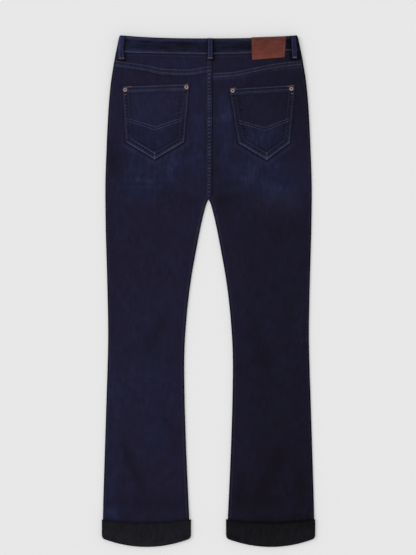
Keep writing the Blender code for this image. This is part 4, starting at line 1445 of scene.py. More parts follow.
def loop_height(loop):
    """Height of a belt loop's outside, as a function of the place."""
    under = laid_on(loop.face, 0.0)

    def height(x, y):
        (_, top_y), (_, low_y) = loop.upper, loop.lower
        along = (y - low_y) / (top_y - low_y)
        edge = 0.5 * loop.width - np.abs(x - loop_middle(loop, along))
        bow = LOOP_BOW * np.sin(np.pi * np.clip(along, 0, 1))
        hump = 0.35 * ramp(y - low_y, 9.0, 7.0) - drawn(edge, LOOP_ROW_SINK)
        return under(x, y) + loop.face * (BAND_PROUD + LAID + bow + LOOP + hump)

    return height


def build_belt_loop(loop):
    """A narrow strip over the waistband, sewn at both ends and a little bowed between them."""
    across = edge_shares(loop.width, (0.0, 0.5, 1.1, 1.7, 2.3, 3.0), 1.0) - 0.5
    across, along = np.meshgrid(across, edge_shares(LOOP_LENGTH, (0.0, 0.6, 1.3, 2.4), 1.4))
    x, y = loop_spot(loop, across, along)
    z = loop_height(loop)(x, y)
    edge = loop.width * (0.5 - np.abs(across))
    lumps = smooth_noise(y / 4, x / 5, 121 + len(loop.name))
    # Painted highlight: the left loop is paler along its left edge
    outer = bell(across + 0.42, 0.3) * (loop.lower[0] < -150)
    wear = 0.01 + 0.05 * lumps + drawn(edge, LOOP_ROW_WEAR) + 0.2 * outer
    # Painted shade: each loop darker at its edges and towards its right side, the loops on the right darker,
    # and a dark line at the lower end by the bartack
    dark = (1 - outer) * drawn(edge, LOOP_EDGE_SHADE) + 0.45 * ramp(across, 0.1, 0.5)
    dark = dark + 0.3 * (x > 100) + 0.7 * bell(along - 0.1, 0.03)
    masks = {"fade": 0.54 + 0.2 * lumps + 0.3 * outer, "wear": np.clip(wear, 0, 1), "dark": dark}
    return lay_cloth(loop.name, stack(x, y, z), LOOP, masks, loop.face, edge=0.6)


def patch_spot(across, up):
    """A place on the leather patch, from its lower left corner."""
    low = [mix(PATCH_LOWER[0][i], PATCH_LOWER[1][i], across) for i in (0, 1)]
    top = [mix(PATCH_UPPER[0][i], PATCH_UPPER[1][i], across) for i in (0, 1)]
    return mix(low[0], top[0], up), mix(low[1], top[1], up)


def patch_height(x, y):
    under = surface(BACK, x, y, flat_rise(x, y))
    edge, _ = beside_path(x, y, (*PATCH_LOWER, *PATCH_UPPER[::-1], PATCH_LOWER[0]))
    sewn = drawn(edge, PATCH_ROW_SINK, PATCH_EDGE_SINK)
    return under + BAND_PROUD + LAID + LEATHER - sewn + 0.12 * smooth_noise(x / 15, y / 15, 131)


def build_patch():
    """The plain leather patch on the waistband."""
    near = (0.0, 0.5, 1.1, 1.8, 2.5, 3.2, 3.9, 4.8)
    across, up = np.meshgrid(edge_shares(PATCH_WIDTH, near, 2.0), edge_shares(PATCH_HEIGHT, near, 2.0))
    x, y = patch_spot(across, up)
    edge = np.minimum(PATCH_WIDTH * np.minimum(across, 1 - across), PATCH_HEIGHT * np.minimum(up, 1 - up))
    # Wear is paler at the rubbed edge, and the patch is paler towards its lower edge and darker towards its top
    masks = {"wear": drawn(edge, PATCH_EDGE_WEAR) + 1.3 * (0.47 - up)}
    points = stack(x, y, patch_height(x, y))
    piece = new_shell("leather_patch_hide", points, LEATHER, leather, masks=masks, edge=0.35)
    return dress(piece, "leather", "leather_patch")


def new_turned(name, profile, radius, height, at, face, finish, steps=56):
    """A round piece: a profile in shares of its radius and height, turned and set on a face."""
    mesh = bpy.data.meshes.new(name)
    points = [(out * radius * MM, 0.0, up * height * MM) for out, up in profile]
    mesh.from_pydata(points, [(i, i + 1) for i in range(len(points) - 1)], [])
    mesh.materials.append(finish)
    piece = add_object(name, mesh)
    turn = piece.modifiers.new("turn", "SCREW")
    turn.steps = turn.render_steps = steps
    turn.use_merge_vertices = True
    turn.merge_threshold = 0.01 * MM
    turn.use_smooth_shade = True
    piece.location = Vector(at) * MM
    if face == FRONT:
        piece.rotation_euler.x = math.pi
    return piece


def round_over(start, end, centre, steps):
    """Points on an arc of a profile from one angle to another, in degrees, about a centre."""
    (at_out, at_up), (wide, tall) = centre
    angles = np.radians(np.linspace(start, end, steps))
    return [(at_out + wide * math.cos(a), at_up + tall * math.sin(a)) for a in angles]


def build_rivet(name, x, y, side):
    """A round rivet with a hollow in its middle and a nub in the hollow."""
    at = (x, y, float(pocket_height(side)(np.array(x), np.array(y))) - 0.1)
    profile = [(0.0, 0.62), (0.06, 0.6), (0.11, 0.5), (0.15, 0.36), (0.22, 0.3)]
    profile += round_over(200, 90, ((0.42, 0.84), (0.14, 0.16)), 6)
    profile += [(0.55, 0.99), (0.68, 0.93)]
    profile += round_over(75, -8, ((0.8, 0.45), (0.2, 0.42)), 8)
    profile += [(0.99, 0.1), (0.96, 0.0), (0.0, 0.0)]
    piece = new_turned(f"{name}_metal", profile, RIVET_RADIUS, RIVET_HEIGHT, at, BACK, copper)
    return dress(piece, "copper", name)


def build_button():
    """The waist button's head, under the front waistband: a plain domed rim round a sunk face."""
    x, y = BUTTON_AT
    at = (x, y, float(surface(FRONT, np.array(x), np.array(y), 1.0, BAND_PROUD)) - LAID)
    profile = [(0.0, 0.86), (0.12, 0.85), (0.3, 0.8), (0.46, 0.76), (0.54, 0.78)]
    profile += round_over(170, -20, ((0.79, 0.76), (0.21, 0.24)), 14)
    profile += [(0.94, 0.5), (0.84, 0.34), (0.62, 0.2), (0.5, 0.1), (0.48, 0.0), (0.0, 0.0)]
    piece = new_turned("waist_button_metal", profile, BUTTON_RADIUS, BUTTON_HEIGHT, at, FRONT, copper)
    return dress(piece, "copper", "waist_button")


# Stitching: many small threads joined into one piece for each area


def thread_shape():
    """A short, plump thread of unit length, width and height, along X."""
    shape = bmesh.new()
    bmesh.ops.create_uvsphere(shape, u_segments=6, v_segments=4, radius=0.5)
    points = np.array([vertex.co for vertex in shape.verts])[:, [2, 0, 1]]
    faces = [[vertex.index for vertex in face.verts] for face in shape.faces]
    shape.free()
    return points, faces


def path_points(x, y):
    """(x, y) places joined to one path, with no repeats."""
    points = np.column_stack([np.ravel(x), np.ravel(y)])
    keep = np.concatenate([[True], np.hypot(*np.diff(points, axis=0).T) > 1e-6])
    return points[keep]


def along_path(path, pitch, inset=1.0):
    """Centres and directions, a pitch apart, along a path."""
    lengths = np.concatenate([[0.0], np.cumsum(np.hypot(*np.diff(path, axis=0).T))])
    count = max(1, int((lengths[-1] - 2 * inset) / pitch))
    at = inset + (lengths[-1] - 2 * inset) * (np.arange(count) + 0.5) / count

    def spot(where):
        return np.column_stack([np.interp(where, lengths, path[:, i]) for i in (0, 1)])

    ahead = spot(at + 0.4) - spot(at - 0.4)
    return spot(at), ahead / np.linalg.norm(ahead, axis=1)[:, None]


def new_threads(name, groups, finish, slot):
    """One piece of many threads. Each group has centres, directions, length, width, height and face."""
    base, base_faces = thread_shape()
    points, faces, count = [], [], 0
    random = np.random.default_rng(len(name))
    for centres, ahead, length, width, height, face in groups:
        low, high = centres - 0.5 * length * ahead, centres + 0.5 * length * ahead
        start = np.column_stack([low, height(low[:, 0], low[:, 1])])
        end = np.column_stack([high, height(high[:, 0], high[:, 1])])
        along = end - start
        side = np.column_stack([-ahead[:, 1], ahead[:, 0], 0 * ahead[:, 0]])
        up = np.cross(along, side)
        up = face * up / np.linalg.norm(up, axis=1)[:, None] * np.sign(up[:, 2:3])
        centre = 0.5 * (start + end) + 0.05 * up * face
        stretch = 1 + 0.06 * random.standard_normal((len(centre), 1, 1))
        shift = 0.07 * random.standard_normal((len(centre), 1, 1)) * side[:, None]
        made = centre[:, None] + shift + base[None, :, :1] * along[:, None] * stretch
        made = made + width * base[None, :, 1:2] * side[:, None]
        made = made + THREAD_DEPTH * width * base[None, :, 2:3] * up[:, None]
        points.append(made.reshape(-1, 3))
        for _ in range(len(centre)):
            faces.extend([[i + count for i in face_points] for face_points in base_faces])
            count += len(base)
    mesh = bpy.data.meshes.new(name)
    mesh.from_pydata(np.concatenate(points) * MM, [], faces)
    mesh.materials.append(finish)
    mesh.shade_smooth()
    piece = add_object(name, mesh)
    return dress(piece, slot)


def row(path, height, face=BACK, width=THREAD):
    """A row of stitches along a path."""
    centres, ahead = along_path(path, STITCH_PITCH)
    return centres, ahead, STITCH, width, height, face


def bartack(across, height_at, length, lean, height, face=BACK):
    """A dense bar of short threads laid across a line."""
    angle = math.radians(lean)
    run = np.array([math.cos(angle), math.sin(angle)])
    places = np.arange(-length / 2, length / 2, BARTACK_PITCH)[:, None]
    centres = np.array([across, height_at]) + places * run
    turned = np.tile([-run[1], run[0]], (len(centres), 1))
    return centres, turned, BARTACK_DEPTH, BARTACK_THREAD, height, face


def span(low, high, step=2.0):
    return np.linspace(low, high, max(2, int(abs(high - low) / step)))


def stitch_waistband():
    x = span(-BAND_ROW_HALF, BAND_ROW_HALF)
    high_x = span(-BAND_TOP_ROW_HALF, BAND_TOP_ROW_HALF)

    def proud(x, y):
        raised = BAND_PROUD + band_effects(x, y, band_seam, waist_edge, 81).rise
        return surface(BACK, x, y, flat_rise(x, y), raised)

    rows = [row(path_points(x, band_seam(x) + BAND_ROW), proud)]
    rows.append(row(path_points(high_x, waist_edge(high_x) - BAND_TOP_ROW), proud))

    def under(x, y):
        return surface(FRONT, x, y, flat_rise(x, y), BAND_PROUD)

    rows.append(row(path_points(x, front_band_seam(x) + BAND_ROW), under, FRONT))
    rows.append(row(path_points(high_x, front_waist_edge(high_x) - BAND_TOP_ROW), under, FRONT))
    y = span(float(front_band_seam(19.0)) + 3.0, float(front_waist_edge(19.0)) - 3.0)
    rows.append(row(path_points(0 * y + BAND_OVERLAP[LEFT] - 2.5, y), under, FRONT))
    return new_threads("waistband_stitching", rows, band_thread, "denim")


def yoke_height(side):
    return lambda x, y: surface(BACK, x, y, flat_rise(x, y), yoke_effects(side, x, y).rise)


def back_height(side):
    return lambda x, y: surface(BACK, x, y, flat_rise(x, y), back_effects(side, x, y).rise)


def stitch_yokes():
    rows = []
    for side in (LEFT, RIGHT):
        x = side * span(5.0, 204.5)
        for distance in YOKE_ROWS[side]:
            rows.append(row(path_points(x, yoke_line(side)(x) + distance), yoke_height(side)))
    return new_threads("yoke_stitching", rows, indigo_thread, "denim")


def stitch_centre_back():
    rows = []
    for distance in CENTRE_ROWS:
        y = span(CROTCH + 5.0, float(yoke_line(LEFT)(-4.0)) - 1.0)
        rows.append(row(path_points(centre_back(y) - distance, y), back_height(LEFT)))
        y = span(float(yoke_line(LEFT)(-4.0)) + 2.0, float(band_seam(0.0)) - 1.0)
        rows.append(row(path_points(centre_back(y) - distance, y), yoke_height(LEFT)))
    return new_threads("centre_back_stitching", rows, dark_thread, "denim")


def stitch_inseams():
    rows = []
    for side in (LEFT, RIGHT):
        y = span(-499.0, CROTCH - 4.0)
        for distance in INSEAM_ROWS:
            out = inside_leg(y) + distance + INSEAM_START
            rows.append(row(path_points(side * out, y), back_height(side)))
    return new_threads("inseam_stitching", rows, dark_thread, "denim")


def inset_path(corners, distance):
    """A path round corners, moved in to its left by a distance."""
    corners = [np.array(corner) for corner in corners]
    lines = []
    for start, end in zip(corners[:-1], corners[1:]):
        ahead = (end - start) / np.linalg.norm(end - start)
        inward = np.array([-ahead[1], ahead[0]]) * distance
        lines.append((start + inward, end + inward))
    places = [lines[0][0]]
    for (a, b), (c, d) in zip(lines[:-1], lines[1:]):
        across = np.linalg.solve(np.column_stack([b - a, c - d]), c - a)
        places.append(a + across[0] * (b - a))
    places.append(lines[-1][1])
    return np.array(places)


def stitch_back_pocket(side):
    shape = BACK_POCKETS[side]
    height = pocket_height(side)
    rows, sides = [], []
    for distance in POCKET_EDGE_ROWS:
        around = inset_path(pocket_sides(shape), -side * distance)
        bright = BRIGHT_ARMS[side] if distance > POCKET_EDGE_ROWS[0] else 2
        if bright:
            rows.append(row(around[1 : 2 + bright], height))
        if bright < 2:
            sides.append(row(around[1 + bright : 4], height))
        sides += [row(around[:2], height), row(around[3:], height)]
    top = np.array([shape.top_inner, shape.top_outer])
    for distance in POCKET_HEM_ROWS:
        line = inset_path(top, -side * distance)
        ends = [mix(line[0], line[1], share) for share in (0.015, 0.985)]
        rows.append(row(np.array(ends), height))
    for up in POCKET_CHEVRON:
        across = np.linspace(0.06, 0.94, 45)
        path = path_points(*pocket_spot(shape, across, up + 0 * across))
        rows.append(row(path, height, width=HEAVY_THREAD))
    new_threads(f"pocket_{SIDE_NAMES[side]}_side_stitching", sides, dark_thread, "denim")
    return new_threads(f"pocket_{SIDE_NAMES[side]}_stitching", rows, pale_thread, "denim")


def stitch_loops():
    rows = []
    for loop in BELT_LOOPS:
        height = loop_height(loop)
        along = np.linspace(0.03, 0.97, 12)
        for edge in (-1, 1):
            across = edge * (0.5 - LOOP_ROWS / loop.width)
            rows.append(row(path_points(*loop_spot(loop, across + 0 * along, along)), height, loop.face))
    return new_threads("belt_loop_stitching", rows, indigo_thread, "denim")


def sew_bartacks():
    bars = []
    for loop in BELT_LOOPS:
        x, y = loop_spot(loop, 0.0, 0.055)
        bars.append(bartack(x, y, loop.width - loop.tack_inset, 0.0, loop_height(loop), loop.face))
    for side, places in POCKET_BARTACKS.items():
        for place in places:
            bars.append(bartack(*place, pocket_height(side)))
    return new_threads("bartacks", bars, copper_thread, "denim")


def stitch_patch():
    corners = [patch_spot(*corner) for corner in ((0.0, 0.0), (1.0, 0.0), (1.0, 1.0), (0.0, 1.0), (0.0, 0.0))]
    path = inset_path(corners, PATCH_BORDER)
    path[0] += [PATCH_BORDER, 0.0]
    path[-1] += [0.0, PATCH_BORDER]
    return new_threads("patch_stitching", [row(path, patch_height)], patch_thread, "leather")


def stitch_front():
    """Rows round the front pocket scoops and the curved rows that hold the fly."""
    rows = []

    def height(x, y):
        return surface(FRONT, x, y, flat_rise(x, y), 0.1)

    for side in (LEFT, RIGHT):
        for distance in SCOOP_ROWS:
            turn = np.radians(np.linspace(8, 88, 40))
            out = SCOOP_CORNER_X - (SCOOP_WIDTH + distance) * np.cos(turn)
            y = SCOOP_CORNER_Y - (SCOOP_DROP + distance) * np.sin(turn)
            rows.append(row(path_points(side * out, y), height, FRONT))
    top = float(front_band_seam(20.0)) - 2.0
    for distance in FLY_ROWS:
        wide, drop = FLY_WIDTH - distance, FLY_LENGTH - distance
        turn = np.radians(np.linspace(0, 88, 24))
        curve_x = -(wide * np.cos(turn) ** 0.8)
        curve_y = top - drop + FLY_CURVE - FLY_CURVE * np.sin(turn)
        x = np.concatenate([[-wide], curve_x])
        y = np.concatenate([[top], curve_y])
        rows.append(row(path_points(x, y), height, FRONT))
    y = span(top - FLY_LENGTH - 4.0, 320.0)
    rows.append(row(path_points(0 * y - 2.4, y), height, FRONT))
    return new_threads("front_stitching", rows, indigo_thread, "denim")


def sew_buttonhole():
    """Dense stitching round the buttonhole, a long oval that the button's head half covers."""
    x, y = BUTTON_AT
    half_length, half_width = BUTTONHOLE_RADII

    def under(x, y):
        return surface(FRONT, x, y, 1.0, BAND_PROUD)

    turn = np.radians(np.linspace(0, 360, 64, endpoint=False))
    out = x - BUTTONHOLE_SHIFT + half_length * np.cos(turn)
    centres = np.column_stack([out, y + half_width * np.sin(turn)])
    across = np.column_stack([0.35 * np.cos(turn), np.sin(turn)])
    across = across / np.linalg.norm(across, axis=1)[:, None]
    group = (centres, across, BUTTONHOLE_DEPTH, BARTACK_THREAD, under, FRONT)
    return new_threads("buttonhole", [group], indigo_thread, "denim")


# Finishes


def feed(tree, socket, value):
    """Gives an input a value, or another node's output."""
    if isinstance(value, bpy.types.NodeSocket):
        tree.links.new(value, socket)
    else:
        socket.default_value = value


def add(tree, kind, inputs=None, **settings):
    """A node with its settings. An input is a value or another node's output."""
    made = tree.nodes.new(kind)
    for key, value in settings.items():
        setattr(made, key, value)
    for key, value in (inputs or {}).items():
        feed(tree, made.inputs[key], value)
    return made


def calc(tree, operation, *values, clamp=False):
    made = add(tree, "ShaderNodeMath", dict(enumerate(values)), operation=operation, use_clamp=clamp)
    return made.outputs[0]


def mix_sockets(tree, share, first, second):
    """The share of two colours, each a value or an output."""
    made = tree.nodes.new("ShaderNodeMix")
    made.data_type = "RGBA"
    for index, value in ((0, share), (6, first), (7, second)):
        feed(tree, made.inputs[index], (*value, 1.0) if isinstance(value, tuple) else value)
    return made.outputs[2]


def stepped(tree, value, low, high, to_low=0.0, to_high=1.0):
    """A value moved smoothly from one range to another."""
    made = add(
        tree,
        "ShaderNodeMapRange",
        {"Value": value, "From Min": low, "From Max": high, "To Min": to_low, "To Max": to_high},
        interpolation_type="SMOOTHSTEP",
    )
    return made.outputs["Result"]


def noise(tree, vector, scale, detail=2.0, roughness=0.5):
    made = add(
        tree,
        "ShaderNodeTexNoise",
        {"Vector": vector, "Scale": scale, "Detail": detail, "Roughness": roughness},
    )
    return made.outputs["Fac"]


def vector_calc(tree, operation, first, second):
    """A sum or product of vectors, or a vector scaled by a number."""
    other = "Scale" if operation == "SCALE" else 1
    return add(tree, "ShaderNodeVectorMath", {0: first, other: second}, operation=operation).outputs["Vector"]


def stretched(tree, vector, factors):
    return vector_calc(tree, "MULTIPLY", vector, factors)


def about_half(tree, value):
    """A value from 0 to 1, moved down so that its middle is 0."""
    return calc(tree, "SUBTRACT", value, 0.5)


def dot(tree, vector, direction):
    made = add(tree, "ShaderNodeVectorMath", {0: vector, 1: direction}, operation="DOT_PRODUCT")
    return made.outputs["Value"]


def new_group(name, inputs, outputs):
    """(tree, input sockets, output node) of a node group. Inputs and outputs are (name, kind, default)."""
    tree = bpy.data.node_groups.new(name, "ShaderNodeTree")
    for label, kind, default in inputs:
        socket = tree.interface.new_socket(label, in_out="INPUT", socket_type=f"NodeSocket{kind}")
        if default is not None:
            socket.default_value = default
    for label, kind in outputs:
        tree.interface.new_socket(label, in_out="OUTPUT", socket_type=f"NodeSocket{kind}")
    return tree, tree.nodes.new("NodeGroupInput").outputs, tree.nodes.new("NodeGroupOutput").inputs


def place_group(tree, group, inputs):
    """The outputs of a node group with some inputs."""
    return add(tree, "ShaderNodeGroup", inputs, node_tree=group).outputs


def make_twill():
    """Diagonal ridges of warp with the paler weft showing in the grooves. Its vector is in millimetres."""
    tree, given, out = new_group(
        "twill",
        [("Vector", "Vector", None), ("Pitch", "Float", 0.9)],
        [("Height", "Float"), ("Weft", "Float")],
    )
    wobble = noise(tree, given["Vector"], 0.9, 1.0)
    across = dot(tree, given["Vector"], (0.86, -0.5, 0.0))
    phase = calc(tree, "DIVIDE", across, given["Pitch"])
    phase = calc(tree, "MULTIPLY_ADD", wobble, 0.8, phase)
    ridge = calc(tree, "SINE", calc(tree, "MULTIPLY", phase, math.tau))
    along = calc(tree, "DIVIDE", dot(tree, given["Vector"], (0.5, 0.86, 0.0)), given["Pitch"])
    beads = calc(tree, "SINE", calc(tree, "MULTIPLY", along, 1.4 * math.tau))
    height = calc(tree, "MULTIPLY_ADD", ridge, 0.38, calc(tree, "MULTIPLY_ADD", beads, 0.12, 0.5))
    tree.links.new(height, out["Height"])
    tree.links.new(stepped(tree, height, 0.34, 0.08), out["Weft"])
    return tree


def make_washed_indigo():
    """The dyed and washed colour: dark indigo, paler in faded zones and palest where edges rub and where a
    painted highlight lies. Dark darkens it with kept dye and painted shade.
    """
    tree, given, out = new_group(
        "washed_indigo",
        [
            ("Slubs", "Vector", None),
            ("Vector", "Vector", None),
            ("Fade", "Float", 0.0),
            ("Wear", "Float", 0.0),
            ("Dark", "Float", 0.0),
            ("Ridge", "Float", 0.5),
            ("Weft", "Float", 0.0),
            ("Deep", "Color", (0.0126, 0.0094, 0.0220, 1.0)),
            ("Cool", "Color", (0.0112, 0.0102, 0.0222, 1.0)),
            ("Blue", "Color", (0.0125, 0.0134, 0.0368, 1.0)),
            ("Pale", "Color", (0.0205, 0.0222, 0.0585, 1.0)),
            ("Rubbed", "Color", (0.066, 0.068, 0.152, 1.0)),
        ],
        [("Color", "Color"), ("Roughness", "Float")],
    )
    fine = noise(tree, given["Slubs"], 1.0, 3.0, 0.6)
    broad = noise(tree, stretched(tree, given["Slubs"], (0.27, 0.8, 1.0)), 1.0, 2.0)
    clouds = noise(tree, given["Vector"], 0.045, 2.0)
    tints = noise(tree, given["Vector"], 0.021, 3.0)
    patches = stepped(tree, noise(tree, given["Vector"], 0.013, 2.0), 0.35, 0.65, 0.45, 1.15)
    uneven = calc(tree, "MULTIPLY", about_half(tree, fine), 0.55)
    uneven = calc(tree, "MULTIPLY_ADD", about_half(tree, broad), 0.4, uneven)
    uneven = calc(tree, "MULTIPLY", uneven, calc(tree, "MULTIPLY_ADD", given["Fade"], 1.3, patches))
    washed_by = calc(tree, "MULTIPLY_ADD", about_half(tree, clouds), 0.3, given["Fade"])
    washed_by = calc(tree, "MULTIPLY_ADD", uneven, 0.22, washed_by, clamp=True)
    dye = mix_sockets(tree, stepped(tree, tints, 0.25, 0.75), given["Deep"], given["Cool"])
    colour = mix_sockets(tree, calc(tree, "MULTIPLY", washed_by, 2.0, clamp=True), dye, given["Blue"])
    beyond = calc(tree, "MULTIPLY_ADD", washed_by, 2.0, -1.0, clamp=True)
    colour = mix_sockets(tree, beyond, colour, given["Pale"])
    bright = calc(tree, "MULTIPLY_ADD", about_half(tree, given["Ridge"]), 0.8, 1.0)
    bright = calc(tree, "MULTIPLY", bright, calc(tree, "ADD", uneven, 1.0))
    colour = vector_calc(tree, "SCALE", colour, bright)
    rub = calc(tree, "MULTIPLY", given["Wear"], stepped(tree, fine, 0.25, 0.7, 0.6, 1.1))
    rub = calc(tree, "MULTIPLY_ADD", given["Weft"], 0.05, rub, clamp=True)
    colour = mix_sockets(tree, rub, colour, given["Rubbed"])
    tree.links.new(darkened(tree, colour, given["Dark"], (-0.32, -0.31, -0.385)), out["Color"])
    tree.links.new(stepped(tree, rub, 0.0, 1.0, 0.86, 0.95), out["Roughness"])
    return tree


def darkened(tree, colour, share, loss):
    """A colour that loses some of its light, to paint shade and kept dye. The loss is for a share of 1, and a
    fifth is always left.
    """
    left = vector_calc(tree, "ADD", vector_calc(tree, "SCALE", loss, share), (1.0, 1.0, 1.0))
    left = vector_calc(tree, "MAXIMUM", left, (0.2, 0.2, 0.2))
    return vector_calc(tree, "MULTIPLY", colour, left)


def in_millimetres(tree):
    """Places on the piece, in millimetres."""
    place = tree.nodes.new("ShaderNodeTexCoord").outputs["Object"]
    return stretched(tree, place, (1000.0, 1000.0, 1000.0))


def mask(tree, name):
    return add(tree, "ShaderNodeAttribute", attribute_name=name).outputs["Fac"]


def new_finish(name):
    """(material, tree, shader) of an empty finish."""
    material = bpy.data.materials.new(name)
    material.use_nodes = True
    tree = material.node_tree
    return material, tree, tree.nodes["Principled BSDF"]


def raise_surface(tree, shader, height, strength, depth):
    """Gives a finish its small relief. Depth is in millimetres."""
    made = add(tree, "ShaderNodeBump", {"Height": height, "Strength": strength, "Distance": depth * MM})
    tree.links.new(made.outputs["Normal"], shader.inputs["Normal"])


def make_denim(name, grain):
    """Stretch denim. Grain gives how finely the slubs run across and along the cloth."""
    material, tree, shader = new_finish(name)
    place = in_millimetres(tree)
    weave = place_group(tree, twill, {"Vector": place, "Pitch": 0.9})
    colours = place_group(
        tree,
        washed_indigo,
        {
            "Slubs": stretched(tree, place, grain),
            "Vector": place,
            "Fade": mask(tree, "fade"),
            "Wear": mask(tree, "wear"),
            "Dark": mask(tree, "dark"),
            "Ridge": weave["Height"],
            "Weft": weave["Weft"],
        },
    )
    tree.links.new(colours["Color"], shader.inputs["Base Color"])
    tree.links.new(colours["Roughness"], shader.inputs["Roughness"])
    fuzz = noise(tree, place, 1.6, 2.0)
    raise_surface(tree, shader, calc(tree, "MULTIPLY_ADD", fuzz, 0.4, weave["Height"]), 0.55, 0.14)
    shader.inputs["Specular IOR Level"].default_value = 0.03
    shader.inputs["Sheen Weight"].default_value = 0.012
    shader.inputs["Sheen Roughness"].default_value = 0.5
    shader.inputs["Sheen Tint"].default_value = (0.45, 0.5, 0.8, 1.0)
    return material


def make_brushed_inside():
    """The denim's brushed inside: charcoal, with a short uneven nap."""
    material, tree, shader = new_finish("brushed_inside")
    place = in_millimetres(tree)
    nap = noise(tree, stretched(tree, place, (0.5, 0.16, 0.5)), 1.0, 4.0, 0.7)
    blotch = noise(tree, stretched(tree, place, (1.0, 0.4, 1.0)), 0.1, 3.0)
    pale = calc(tree, "MULTIPLY_ADD", about_half(tree, nap), 2.2, calc(tree, "MULTIPLY", blotch, 0.9))
    pale = calc(tree, "MULTIPLY_ADD", mask(tree, "wear"), 0.9, pale, clamp=True)
    colour = mix_sockets(tree, pale, (0.0070, 0.0066, 0.0092), (0.0168, 0.0160, 0.0206))
    # The dark mask paints shade along the hems' edges and darkens the right one
    colour = darkened(tree, colour, mask(tree, "dark"), (-0.3, -0.3, -0.33))
    tree.links.new(colour, shader.inputs["Base Color"])
    tree.links.new(stepped(tree, nap, 0.3, 0.7, 0.9, 1.0), shader.inputs["Roughness"])
    raise_surface(tree, shader, nap, 0.7, 0.3)
    shader.inputs["Specular IOR Level"].default_value = 0.02
    shader.inputs["Sheen Weight"].default_value = 0.02
    shader.inputs["Sheen Roughness"].default_value = 0.6
    shader.inputs["Sheen Tint"].default_value = (0.7, 0.7, 0.8, 1.0)
    return material


def make_leather():
    """Plain red-brown leather with a fine grain, paler where its edge is rubbed."""
    material, tree, shader = new_finish("leather")
    place = in_millimetres(tree)
    cells = add(tree, "ShaderNodeTexVoronoi", {"Vector": place, "Scale": 1.15, "Randomness": 1.0})
    pores = stepped(tree, cells.outputs["Distance"], 0.05, 0.55)
    cloudy = noise(tree, stretched(tree, place, (1.0, 1.6, 1.0)), 0.07, 4.0, 0.6)
    speckle = noise(tree, place, 0.8, 3.0)
    pale = calc(tree, "MULTIPLY_ADD", about_half(tree, speckle), 0.4, stepped(tree, cloudy, 0.1, 0.9))
    pale = calc(tree, "MULTIPLY_ADD", mask(tree, "wear"), 0.6, pale, clamp=True)
    colour = mix_sockets(tree, pale, (0.080, 0.0152, 0.0098), (0.138, 0.0300, 0.0196))
    between = calc(tree, "MULTIPLY", calc(tree, "SUBTRACT", 1.0, pores), 0.35)
    colour = mix_sockets(tree, between, colour, (0.05, 0.015, 0.012))
    tree.links.new(colour, shader.inputs["Base Color"])
    tree.links.new(stepped(tree, cloudy, 0.2, 0.8, 0.62, 0.5), shader.inputs["Roughness"])
    raise_surface(tree, shader, pores, 0.45, 0.12)
    shader.inputs["Specular IOR Level"].default_value = 0.14
    return material


def make_copper():
    """Silvered copper, rubbed bright on top, with dark oxide down in the middle."""
    material, tree, shader = new_finish("copper")
    place = in_millimetres(tree)
    flat = stretched(tree, place, (1.0, 1.0, 0.0))
    out = add(tree, "ShaderNodeVectorMath", {0: flat}, operation="LENGTH").outputs["Value"]
    stains = noise(tree, place, 0.9, 3.0)
    hollow = stepped(tree, calc(tree, "MULTIPLY_ADD", stains, 0.6, out), 1.0, 2.2, 1.0, 0.0)
    stained = stepped(tree, stains, 0.35, 0.65)
    colour = mix_sockets(tree, stained, (0.117, 0.104, 0.111), (0.103, 0.068, 0.063))
    colour = mix_sockets(tree, hollow, colour, (0.035, 0.022, 0.02))
    tree.links.new(colour, shader.inputs["Base Color"])
    tree.links.new(stepped(tree, hollow, 0.0, 1.0, 0.34, 0.75), shader.inputs["Roughness"])
    raise_surface(tree, shader, noise(tree, place, 2.4, 2.0), 0.3, 0.06)
    shader.inputs["Metallic"].default_value = 1.0
    return material


def make_thread(name, dark, pale):
    """Twisted sewing thread with two close shades along it."""
    material, tree, shader = new_finish(name)
    place = in_millimetres(tree)
    shades = stepped(tree, noise(tree, place, 0.35, 2.0), 0.35, 0.65)
    tree.links.new(mix_sockets(tree, shades, dark, pale), shader.inputs["Base Color"])
    twist = add(tree, "ShaderNodeTexWave", {"Vector": place, "Scale": 1.7, "Distortion": 1.0})
    raise_surface(tree, shader, twist.outputs["Fac"], 0.4, 0.08)
    shader.inputs["Roughness"].default_value = 0.7
    shader.inputs["Specular IOR Level"].default_value = 0.1
    return material


# A cloth cut: its flat width and length, in millimetres, and its area in square millimetres


Cut = namedtuple("Cut", "width length area")


# The studio


def build_floor():
    mesh = bpy.data.meshes.new("floor")
    shape = bmesh.new()
    bmesh.ops.create_grid(shape, x_segments=1, y_segments=1, size=FLOOR_HALF * MM)
    shape.to_mesh(mesh)
    shape.free()
    floor = add_object("floor", mesh)
    material, _, shader = new_finish("pale_floor")
    shader.inputs["Base Color"].default_value = (FLOOR_SHADE, FLOOR_SHADE, FLOOR_SHADE, 1.0)
    shader.inputs["Roughness"].default_value = 0.95
    shader.inputs["Specular IOR Level"].default_value = 0.0
    mesh.materials.append(material)
    floor.location.z = -FLOOR_GAP * MM


def light_studio():
    world = bpy.data.worlds.new("studio")
    world.use_nodes = True
    backdrop = world.node_tree.nodes["Background"]
    backdrop.inputs["Color"].default_value = (1.0, 1.0, 1.0, 1.0)
    backdrop.inputs["Strength"].default_value = ROOM_LIGHT
    bpy.context.scene.world = world
    for name, (strength, softness, lean_x, lean_y) in LAMPS.items():
        data = bpy.data.lights.new(name, "SUN")
        data.energy = strength
        data.angle = math.radians(softness)
        lamp = add_object(name, data)
        toward = Vector((math.tan(math.radians(lean_x)), math.tan(math.radians(lean_y)), 1.0))
        lamp.rotation_mode = "QUATERNION"
        lamp.rotation_quaternion = toward.to_track_quat("Z", "Y")


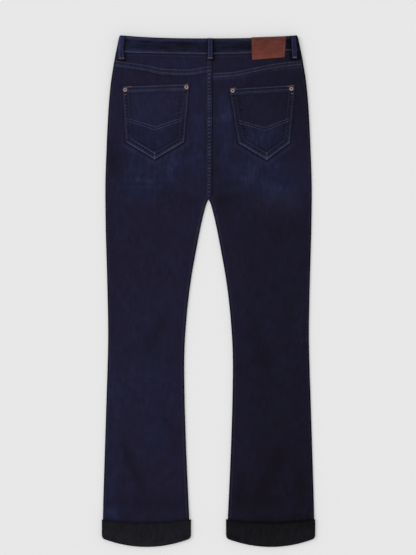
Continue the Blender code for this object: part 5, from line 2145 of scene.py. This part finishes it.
def set_camera():
    """Straight above the jeans, framed as in the photo."""
    data = bpy.data.cameras.new("camera")
    data.sensor_width = SENSOR
    data.lens = SENSOR * CAMERA_DISTANCE / PHOTO_HEIGHT
    data.clip_start, data.clip_end = (reach * MM for reach in CAMERA_REACH)
    camera = add_object("camera", data)
    camera.location = Vector((*PHOTO_CENTRE, VIEW_LEVEL + CAMERA_DISTANCE)) * MM
    bpy.context.scene.camera = camera
    bpy.context.scene.view_settings.view_transform = "Standard"


twill = make_twill()
washed_indigo = make_washed_indigo()
denim = make_denim("denim", (0.32, 0.055, 0.2))
denim_crosswise = make_denim("denim_crosswise", (0.055, 0.32, 0.2))
brushed_inside = make_brushed_inside()
leather = make_leather()
copper = make_copper()
indigo_thread = make_thread("indigo_thread", (0.032, 0.036, 0.068), (0.080, 0.085, 0.135))
band_thread = make_thread("band_thread", (0.045, 0.050, 0.090), (0.095, 0.100, 0.160))
dark_thread = make_thread("dark_thread", (0.020, 0.020, 0.040), (0.038, 0.040, 0.072))
pale_thread = make_thread("pale_thread", (0.050, 0.057, 0.112), (0.098, 0.106, 0.188))
copper_thread = make_thread("copper_thread", (0.15, 0.065, 0.045), (0.27, 0.125, 0.09))
patch_thread = make_thread("patch_thread", (0.16, 0.055, 0.042), (0.24, 0.095, 0.075))

for each_side in (LEFT, RIGHT):
    build_back(each_side)
    build_yoke(each_side)
    build_front(each_side)
    build_pocket_facing(each_side)
    build_front_waistband(each_side)
    build_cuff(each_side)
    build_back_pocket(each_side)
    stitch_back_pocket(each_side)
build_fly_shield()
build_back_waistband()
for each_loop in BELT_LOOPS:
    build_belt_loop(each_loop)
build_patch()
for rivet_name, (rivet_x, rivet_y) in RIVETS.items():
    build_rivet(rivet_name, rivet_x, rivet_y, LEFT if rivet_x < 0 else RIGHT)
build_button()
stitch_waistband()
stitch_yokes()
stitch_centre_back()
stitch_inseams()
stitch_loops()
sew_bartacks()
stitch_patch()
stitch_front()
sew_buttonhole()

build_floor()
light_studio()
set_camera()
